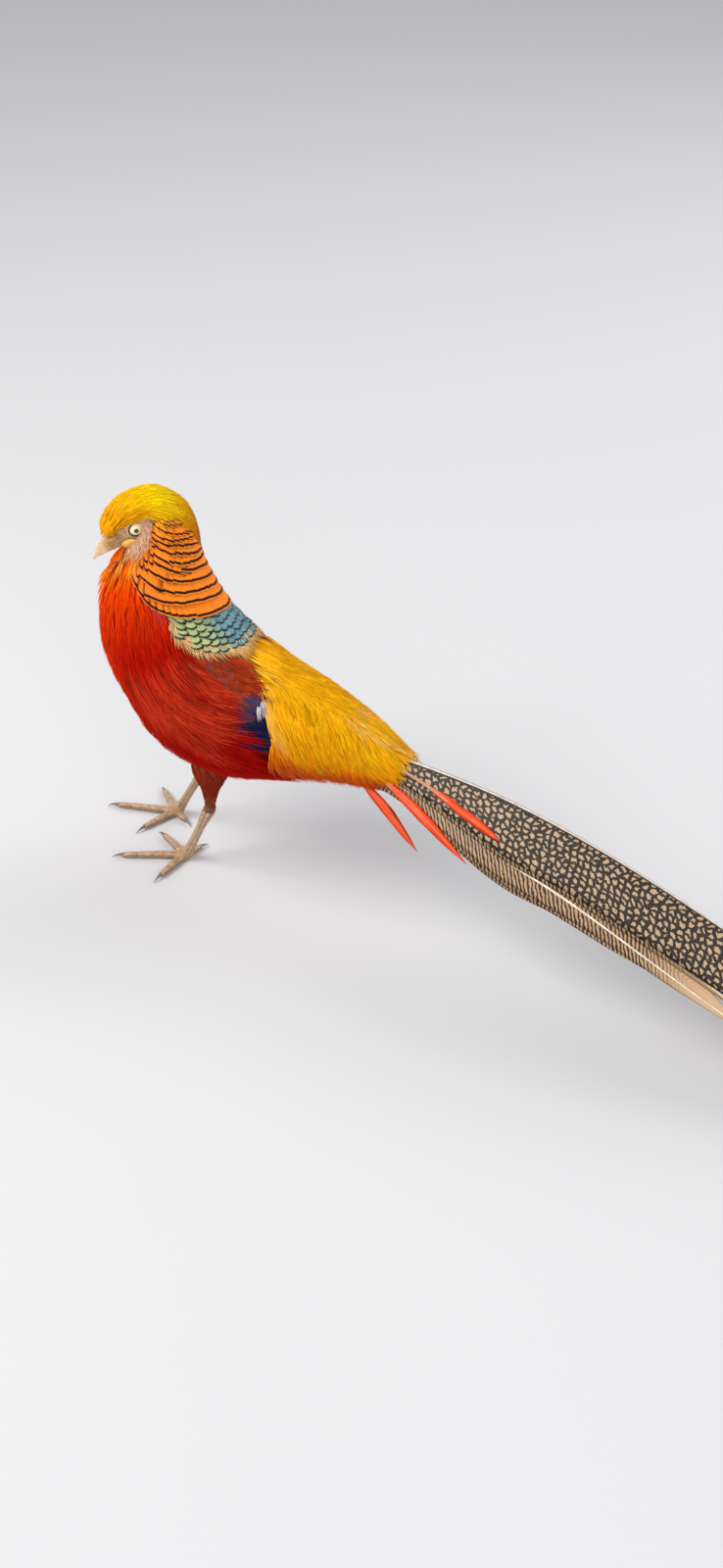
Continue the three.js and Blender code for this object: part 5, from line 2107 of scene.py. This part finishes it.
class Shaper:
    """Models small parts with Blender's own tools."""

    def __init__(self, maker: Maker, head: Head) -> None:
        """Keeps what places the parts.

        Args:
            maker: Makes objects ride on the bird.
            head: The head's place.
        """
        self.maker = maker
        self.head = head

    def extruded(self, name: str, rings: Array) -> Thing:
        """Draws a closed part out of one ring, ring by ring.

        Args:
            name: The part's name.
            rings: Points in millimetres, by ring, in the body's frame.

        Returns:
            The object.
        """
        rows = self.maker.stance.to_row(rings)
        circle = bpy.ops.mesh.primitive_circle_add
        thing = modelled(name, circle, vertices=rows.shape[1], radius=0.01, fill_type="NGON")
        bpy.ops.object.mode_set(mode="EDIT")
        bpy.ops.mesh.select_all(action="SELECT")
        mesh = bmesh.from_edit_mesh(thing.data)
        for vertex, place in zip(mesh.verts, rows[0]):
            vertex.co = place
        for before, row in zip(rows[:-1], rows[1:]):
            bpy.ops.mesh.extrude_region_move()
            mesh = bmesh.from_edit_mesh(thing.data)
            for vertex in [corner for corner in mesh.verts if corner.select]:
                nearest = int(np.argmin(((before - np.array(vertex.co)) ** 2).sum(-1)))
                vertex.co = row[nearest]
        bmesh.update_edit_mesh(thing.data)
        bpy.ops.mesh.select_all(action="SELECT")
        bpy.ops.mesh.normals_make_consistent(inside=False)
        bpy.ops.object.mode_set(mode="OBJECT")
        return thing

    def placed(self, thing: Thing) -> None:
        """Takes a part modelled in the head's frame, in metres, to its place in the mesh."""
        bpy.ops.object.transform_apply(location=True, rotation=True, scale=True)
        body = self.head.to_body(points_of(thing.data) / MM)
        thing.data.vertices.foreach_set("co", self.maker.stance.to_row(body).ravel())
        thing.data.update()

    def tinted(self, thing: Thing, tint: Callable[[Array], Array | Colour]) -> None:
        """Gives each point a tint.

        Args:
            thing: The object.
            tint: Colours at places in the body's frame, in millimetres.
        """
        body = points_of(thing.data) / MM - self.maker.stance.shift
        colour(thing.data, np.broadcast_to(tint(body), body.shape))

    def finished(self, thing: Thing, finish: Material, slot: str, *nodes: str) -> None:
        """Smooths a part, gives it its finish and lets it ride on the bird.

        Args:
            thing: The part.
            finish: Its material.
            slot: Handed on, but not used.
            nodes: The frame's nodes that it stands for.
        """
        alone(thing)
        bpy.ops.object.shade_smooth_by_angle(angle=radians(50))
        thing.data.materials.clear()
        thing.data.materials.append(finish)
        self.maker.dress(thing, slot, nodes)
        log.info("%s: %d faces", thing.name, len(thing.data.polygons))


@dataclass
class Bill:
    """The bill's two halves, in millimetres of the head's frame.

    Base and tip are distances ahead of the eyes, culmen the height of the ridge at the root, drop
    its fall to the tip, gape the height of the mouth's line, and under how much shorter the lower
    half is.
    """

    base: float = 11.0
    tip: float = 40.0
    culmen: float = 4.6
    drop: float = 13.2
    gape: float = -7.5
    half_width: float = 6.2
    under: float = 4.0
    pale: Colour = (0.80, 0.56, 0.32)
    dusk: Colour = (0.60, 0.40, 0.20)

    def rings(self, upper: bool) -> Array:
        """Rings from the root to the tip, in the head's frame."""
        found = []
        angle = np.radians(np.linspace(-90, 90, 19))
        reach = self.tip if upper else self.tip - self.under
        for t in np.linspace(0, 1, 22):
            forward = mix(self.base, reach, t)
            hook = 1.6 * float(smooth(t, 0.8, 1.0)) if upper else 0.0
            tomium = self.gape - 1.5 * t + (0.1 if upper else -0.1) - hook
            wide = mix(self.half_width, 0.7, t**1.3) * (1.0 if upper else 0.86)
            top = self.culmen + 1 - (self.drop + 0.5) * t**1.9
            rise = max(top - tomium, 0.7) if upper else -mix(4.6, 0.8, t**0.8)
            bulge = np.maximum(np.cos(angle), 0) ** 0.72 * rise
            found.append(np.stack([wide * np.sin(angle), -forward + 0 * angle, tomium + bulge], -1))
        return np.array(found)

    def build(self, shaper: Shaper, finish: Material) -> None:
        """Models both halves, with nostrils in the upper one.

        Args:
            shaper: Models the parts.
            finish: The horn's material.
        """
        head = shaper.head

        def tint(places: Array) -> Array:
            """Pale horn, darker at the root and on the ridge."""
            local = head.to_head(places)
            ridge = smooth(local[:, 2] - self.gape, 4, 9) * (1 - smooth(-local[:, 1], 26, 36))
            horn = tinted(self.dusk, self.pale, smooth(-local[:, 1], 12, 30))
            return tinted(horn, self.dusk, 0.5 * ridge)

        for name, upper in (("bill_top", True), ("bill_under", False)):
            thing = shaper.extruded(name, head.to_body(self.rings(upper)))
            if upper:
                self.nostrils(shaper, thing)
            shaper.tinted(thing, tint)
            shaper.finished(thing, finish, "bill", "bill_upper" if upper else "bill_lower")

    def nostrils(self, shaper: Shaper, bill: Thing) -> None:
        """Cuts the nostrils.

        Args:
            shaper: Models the cutters.
            bill: The upper half.
        """
        for side in (1, -1):
            cutter = modelled(
                "cutter", bpy.ops.mesh.primitive_uv_sphere_add, segments=24, ring_count=12,
                radius=MM, location=Vector((side * 4.7, -18.6, -1.6)) * MM,
            )
            cutter.scale = (1.3, 2.4, 0.8)
            cutter.rotation_euler = (radians(-16), 0, radians(side * 8))
            shaper.placed(cutter)
            cut = bill.modifiers.new("nostril", "BOOLEAN")
            cut.operation, cut.object, cut.solver = "DIFFERENCE", cutter, "EXACT"
            alone(bill)
            bpy.ops.object.modifier_apply(modifier="nostril")
            bpy.data.objects.remove(cutter, do_unlink=True)


@dataclass
class Eyes:
    """Eyes, lids and lappets.

    Radii are millimetres, as is lid_place, the way from the head's middle to the lids. Pupil and
    iris are the angles where they end, in radians from the middle of the eye.
    """

    radius: float = 6.2
    lid_radius: float = 5.3
    lid_place: float = 12.0
    pupil: float = 0.3
    iris: float = 0.8
    lid_tint: Colour = (0.66, 0.42, 0.24)
    rim_tint: Colour = (0.09, 0.055, 0.035)
    lappet_tint: Colour = (0.88, 0.50, 0.10)

    def eyeball_finish(self) -> Material:
        """A wet eye: black pupil, cream iris and a thin dark rim."""
        nodes = Nodes("wet eye")
        ring = nodes.attribute("Ring", "Fac")
        fleck = nodes.noise(nodes.place(), 2600.0)
        cream = nodes.blend(fleck, (0.84, 0.70, 0.34), (0.95, 0.86, 0.52))
        pupil = nodes.ease(ring, self.pupil - 0.03, self.pupil + 0.03)
        inner = nodes.blend(pupil, (0.004, 0.004, 0.004), cream)
        rim = nodes.ease(ring, self.iris - 0.04, self.iris + 0.05)
        return nodes.finished({
            "Base Color": nodes.blend(rim, inner, (0.035, 0.022, 0.015)), "Roughness": 0.12,
            "Coat Weight": 1.0, "Coat Roughness": 0.02,
        })

    def build(self, shaper: Shaper, skin_finish: Material) -> None:
        """Models both eyes with their lids and lappets.

        Args:
            shaper: Models the parts.
            skin_finish: The bare skin's material.
        """
        wet = self.eyeball_finish()
        for name, side in SIDES:
            self.eyeball(shaper, name, side, wet)
            self.lid(shaper, name, side, skin_finish)
            self.lappet(shaper, name, side, skin_finish)

    def eyeball(self, shaper: Shaper, name: str, side: int, finish: Material) -> None:
        """Models one eyeball with a slight bulge in front of the pupil."""
        ball = modelled(
            f"eyeball_{name}", bpy.ops.mesh.primitive_uv_sphere_add, segments=48, ring_count=32,
            radius=self.radius * MM, rotation=(0, side * pi / 2, 0),
        )
        bpy.ops.object.transform_apply(location=True, rotation=True, scale=True)
        places = points_of(ball.data)
        angle = np.arccos(np.clip(side * places[:, 0] / (self.radius * MM), -1, 1))
        places[:, 0] += side * 0.35 * MM * (1 - smooth(angle, 0.2, 0.75))
        places[:, 0] += side * shaper.head.eye[0] * MM
        ball.data.vertices.foreach_set("co", places.ravel())
        layer = ball.data.attributes.new("Ring", "FLOAT", "POINT")
        layer.data.foreach_set("value", angle.astype(np.float32))
        shaper.placed(ball)
        shaper.finished(ball, finish, "eye", f"eye_{name}")

    def lid(self, shaper: Shaper, name: str, side: int, finish: Material) -> None:
        """Models one ring of lids, a little narrower than it is long."""
        lid = modelled(
            f"lids_{name}", bpy.ops.mesh.primitive_torus_add, major_segments=64, minor_segments=16,
            major_radius=(self.lid_radius + 0.9) * MM, minor_radius=MM, rotation=(0, pi / 2, 0),
            location=(side * self.lid_place * MM, 0, 0),
        )
        bpy.ops.object.mode_set(mode="EDIT")
        bpy.ops.mesh.select_all(action="SELECT")
        bpy.ops.transform.resize(value=(0.9, 1.04, 0.97), center_override=lid.location)
        bpy.ops.object.mode_set(mode="OBJECT")
        shaper.placed(lid)

        def tint(places: Array) -> Array:
            """Bare skin, dark towards the opening."""
            away = np.linalg.norm(shaper.head.to_head(places)[:, 1:], axis=-1) - self.lid_radius
            return tinted(self.rim_tint, self.lid_tint, smooth(away, 0.2, 1.3))

        shaper.tinted(lid, tint)
        shaper.finished(lid, finish, "crest")

    def lappet(self, shaper: Shaper, name: str, side: int, finish: Material) -> None:
        """Models one small yellow lappet under the eye."""
        flap = modelled(
            f"lappet_{name}", bpy.ops.mesh.primitive_uv_sphere_add, segments=32, ring_count=20,
            radius=MM,
        )
        flap.scale = (2.6, 7.0, 4.4)
        flap.location = Vector((side * 9.6, -9.6, -8.6)) * MM
        out = Vector((side * 0.80, -0.40, -0.42))
        flap.rotation_euler = out.to_track_quat("X", "Z").to_euler()
        shaper.placed(flap)
        shaper.tinted(flap, lambda places: self.lappet_tint)
        shaper.finished(flap, finish, "crest")


@dataclass
class LegDress:
    """Scales, claws and the thighs' feathers.

    A row of scales has its degrees round the limb, its width and its shift.
    """

    legs: Legs
    seed: int = 14
    scale_tint: Colour = (0.46, 0.30, 0.175)
    claw_tint: Colour = (0.20, 0.15, 0.11)
    tarsus_rows: tuple[tuple[float, float, float], ...] = (
        (66, 4.6, 0.0), (114, 4.6, 0.5), (20, 3.2, 0.3), (160, 3.2, 0.8),
        (-25, 3.0, 0.1), (205, 3.0, 0.6), (-66, 3.6, 0.5), (246, 3.6, 0.0),
    )
    toe_rows: tuple[tuple[float, float, float], ...] = (
        (90, 5.2, 0.0), (38, 2.8, 0.5), (142, 2.8, 0.5),
    )

    def row(
        self,
        limb: LimbSurface,
        angle: float,
        pitch: float,
        width: float,
        length: float,
        ends: tuple[float, float],
        shift: float,
    ) -> Mesh:
        """One row of overlapping scales along a limb.

        Args:
            limb: The limb.
            angle: Degrees round it.
            pitch: Millimetres from one to the next.
            width: Width of a scale.
            length: Length of a scale.
            ends: Shares of the limb where the row starts and ends.
            shift: Share of the pitch by which the row is shifted.

        Returns:
            One mesh.
        """
        chance = np.random.default_rng(self.seed + int(abs(angle) * 7))
        count = max(int((ends[1] - ends[0]) * limb.line.lengths[-1] / pitch), 2)
        u = mix(*ends, (np.arange(count) + shift) / count)
        v = np.full(count, radians(angle))
        tint = np.array(self.scale_tint) * shades(chance, 0.1, count)
        roots = roots_at(u, v, length, width, (-0.3, 0.12), tint * 0.8, tint * 1.15)
        return grown(limb, roots, SCUTE, straight)

    def scales(self) -> Mesh:
        """Scales on both tarsi and all toes."""
        parts = []
        for name in self.legs.feet:
            tarsus = self.legs.tarsus(name)
            for angle, width, shift in self.tarsus_rows:
                parts.append(self.row(tarsus, angle, 2.9, width, 4.4, (0.07, 0.97), shift))
            for _, turn, length in self.legs.toes:
                toe = self.legs.toe(name, turn, length)
                for angle, width, shift in self.toe_rows:
                    parts.append(self.row(toe, angle, 2.5, width, 3.5, (0.06, 0.93), shift))
        return Mesh.joined(parts)

    def thighs(self) -> Mesh:
        """Short rusty feathers down the thighs to the ankle."""
        parts = []
        chance = np.random.default_rng(self.seed)
        for name in self.legs.feet:
            limb = self.legs.thigh(name, -4.2)
            u, v = scattered(limb, 2.4, (0.0, 0.0), (0.9, 2 * pi), lambda u, v: u > 0)
            rusty = tinted((0.26, 0.022, 0.005), (0.22, 0.07, 0.02), smooth(u, 0.45, 0.85))
            tint = rusty * shades(chance, 0.14, len(u))
            length = mix(16.0, 9.0, smooth(u, 0.2, 0.8)) * chance.uniform(0.85, 1.15, len(u))
            turn = chance.normal(0, 0.08, len(u))
            roots = roots_at(u, v, length, 0.8, (-1.0, 0.5), tint, tint * 1.25, turn=turn)
            parts.append(grown(limb, tufted(roots, 5, 0.16, 0.2, chance), FINE_STRAND, straight))
        return Mesh.joined(parts)

    def claws(self, shaper: Shaper, finish: Material) -> None:
        """Models the claws, each curved down to its tip.

        Args:
            shaper: Models the parts.
            finish: The horn's material.
        """
        legs = self.legs
        angle = np.linspace(0, 2 * pi, 14, endpoint=False)[:, None]
        for name in legs.feet:
            for toe, turn, length in legs.toes:
                ahead = legs.ahead(name, turn)
                side = np.array([-ahead[1], ahead[0], 0.0])
                section = 0.8 * np.cos(angle) * side + np.sin(angle) * UP
                rings = []
                for t in np.linspace(0, 1, 12):
                    way = mix(length - 1.6, length + legs.claw_length, t)
                    centre = np.array([*legs.feet[name], 0.0]) + ahead * way
                    centre[2] = 2.9 + 0.7 * sin(pi * t) - 2.2 * t * t
                    ring = centre + mix(2.0, 0.22, t**0.9) * section
                    ring[:, 2] = np.maximum(ring[:, 2], 0.05)
                    rings.append(ring)
                claw = shaper.extruded(f"nail_{toe}_{name}", np.array(rings))
                shaper.tinted(claw, lambda places: self.claw_tint)
                shaper.finished(claw, finish, "claw", f"claw_{toe}_{name}")


@dataclass
class Studio:
    """Floor, lights and camera.

    The camera stands at eye_point, in the bird's millimetres, in a direction of azimuth degrees
    from the bird's front to its left, and looks down by tilt degrees. Its focal length is in
    pixels, as is the picture's long side. The lamps look at aim, in the row frame.
    """

    eye_point: Place = (1087.7, 676.4, 944.3)
    azimuth: float = 115.0
    tilt: float = 35.0
    focal: float = 1900.0
    long_side: float = 1600.0
    floor_tint: Colour = (0.54, 0.54, 0.55)
    aim: Place = (0.0, -0.1, 0.15)

    def hung(self, data: bpy.types.ID, place: Sequence[float], look: Vector) -> Thing:
        """Puts a lamp or a camera in its place, looking one way.

        Args:
            data: The lamp's or the camera's data.
            place: Where it hangs, in the row frame.
            look: The way it looks.

        Returns:
            The object.
        """
        thing = bpy.data.objects.new(data.name, data)
        bpy.context.collection.objects.link(thing)
        thing.location = place
        thing.rotation_euler = look.to_track_quat("-Z", "Y").to_euler()
        return thing

    def camera(self, stance: Stance) -> None:
        """Sets the camera up as the photograph has it."""
        data = bpy.data.cameras.new("camera")
        data.sensor_width = 36.0
        data.lens = self.focal / self.long_side * data.sensor_width
        data.clip_start = 0.05
        turn, tip = radians(self.azimuth), radians(self.tilt)
        back = Vector((sin(turn) * cos(tip), -cos(turn) * cos(tip), sin(tip)))
        bpy.context.scene.camera = self.hung(data, stance.to_row(self.eye_point), -back)

    def floor(self) -> None:
        """Lays a plain pale floor."""
        floor = modelled("floor", bpy.ops.mesh.primitive_plane_add, size=30.0)
        floor.data.materials.append(Nodes("pale floor").finished({
            "Base Color": self.floor_tint, "Roughness": 0.9, "Specular IOR Level": 0.1,
        }))

    def light(self, name: str, place: Place, size: float, power: float, tint: Colour) -> None:
        """Hangs a soft lamp that looks at the bird."""
        data = bpy.data.lights.new(name, "AREA")
        data.shape = "SQUARE"
        data.size = size
        data.energy = power
        data.color = tint
        self.hung(data, place, Vector(self.aim) - Vector(place))

    def build(self, stance: Stance) -> None:
        """Sets up floor, lights, air and camera."""
        self.floor()
        self.light("key", (1.0, -1.6, 2.2), 1.6, 62.0, (1.0, 0.98, 0.94))
        self.light("fill", (2.2, 1.2, 1.4), 2.0, 28.0, (0.95, 0.97, 1.0))
        self.light("rim", (-1.8, 0.9, 1.8), 1.6, 30.0, (1.0, 1.0, 1.0))
        world = bpy.data.worlds.new("air")
        world.use_nodes = True
        sky = world.node_tree.nodes["Background"]
        sky.inputs["Color"].default_value = (0.96, 0.97, 1.0, 1.0)
        sky.inputs["Strength"].default_value = 0.7
        scene = bpy.context.scene
        scene.world = world
        scene.view_settings.view_transform = "Standard"
        self.camera(stance)


def main() -> None:
    """Builds the bird and its studio."""
    logging.basicConfig(level=logging.INFO, format="%(name)s: %(message)s")
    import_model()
    alone()

    head = Head()
    stance = Stance(head)
    maker = Maker(stance)
    shaper = Shaper(maker, head)
    body, crest, skull = BodySurface(), CrestSurface(head), SkullSurface(head)
    marks = Markings()
    legs = Legs()

    loose = Plume("loose barbs", roughness=0.62, gloss=0.04).material()
    silk = Plume("silky barbs", roughness=0.42, gloss=0.09).material()
    cape = Plume(
        "cape vanes", 0.55, 0.06, Pattern.BARRED, (0.03, 0.005, 0.008), (0.22, 60.0),
        (0.855, 0.95), 0.03,
    ).material()
    scaled = Plume(
        "mantle vanes", 0.4, 0.4, Pattern.SCALED, (0.008, 0.012, 0.02), (0.22, 40.0),
        (0.92, 1.3), 0.14,
    ).material()
    vane = Plume("wing vanes", 0.5, 0.25, barbs=(0.3, 34.0)).material()
    netted = Plume(
        "netted tail", 0.5, 0.25, Pattern.NETTED, (0.022, 0.015, 0.012), (0.16, 320.0)
    ).material()
    slanted = Plume(
        "slanted tail", 0.5, 0.25, Pattern.SLANTED, (0.03, 0.018, 0.012), (0.16, 320.0)
    ).material()
    horn = Bare("horn", roughness=0.38, bump=0.15, grain=700.0, coat=0.25).material()
    flesh = Bare("bare skin", roughness=0.55, bump=0.6, grain=1500.0, flesh=0.1).material()

    plumage = BodyPlumage(body, skull, marks)
    maker.coat("cape_feathers", plumage.cape(), cape, "cape")
    maker.coat("mantle_feathers", plumage.mantle(), scaled, "cape")
    maker.coat("mantle_fringe", plumage.fringe(), loose, "cape")
    for name, side in SIDES:
        maker.coat(f"breast_{name}", plumage.red(side), loose, "breast")
        maker.coat(f"flank_{name}", plumage.flank(side), loose, "breast")
        maker.coat(f"shoulder_{name}", plumage.shoulder(side), loose, "wing")
        maker.coat(f"rump_{name}", plumage.rump(side), silk, "rump")
        maker.coat(f"wing_feathers_{name}", Wing(body, side).mesh(), vane, "wing", [f"wing_{name}"])
    maker.coat("chin_bristles", plumage.chin(), loose, "crest")
    faces = HeadPlumage(crest, skull)
    maker.coat("crest_plumes", faces.crest(), silk, "crest")
    maker.coat("face_feathers", faces.face(), loose, "crest")
    dress = LegDress(legs)
    maker.coat("thigh_feathers", dress.thighs(), loose, "thigh")

    tail = Tail(TailSurface())
    vanes, shafts = tail.central()
    side_vanes, side_shafts = tail.sides()
    maker.piece("tail_central", vanes, netted, "tail", ["tail"])
    maker.piece("tail_sides", side_vanes, slanted, "tail")
    maker.piece("tail_shafts", Mesh.joined([shafts, side_shafts]), horn, "tail")
    maker.piece("tail_spears", tail.spear_meshes(), vane, "rump")

    maker.piece("leg_scales", dress.scales(), horn, "leg")
    Skin(body, crest, skull, legs).build(maker, flesh)
    Bill().build(shaper, horn)
    Eyes().build(shaper, flesh)
    dress.claws(shaper, horn)
    Studio().build(stance)


if __name__ == "__main__":
    main()
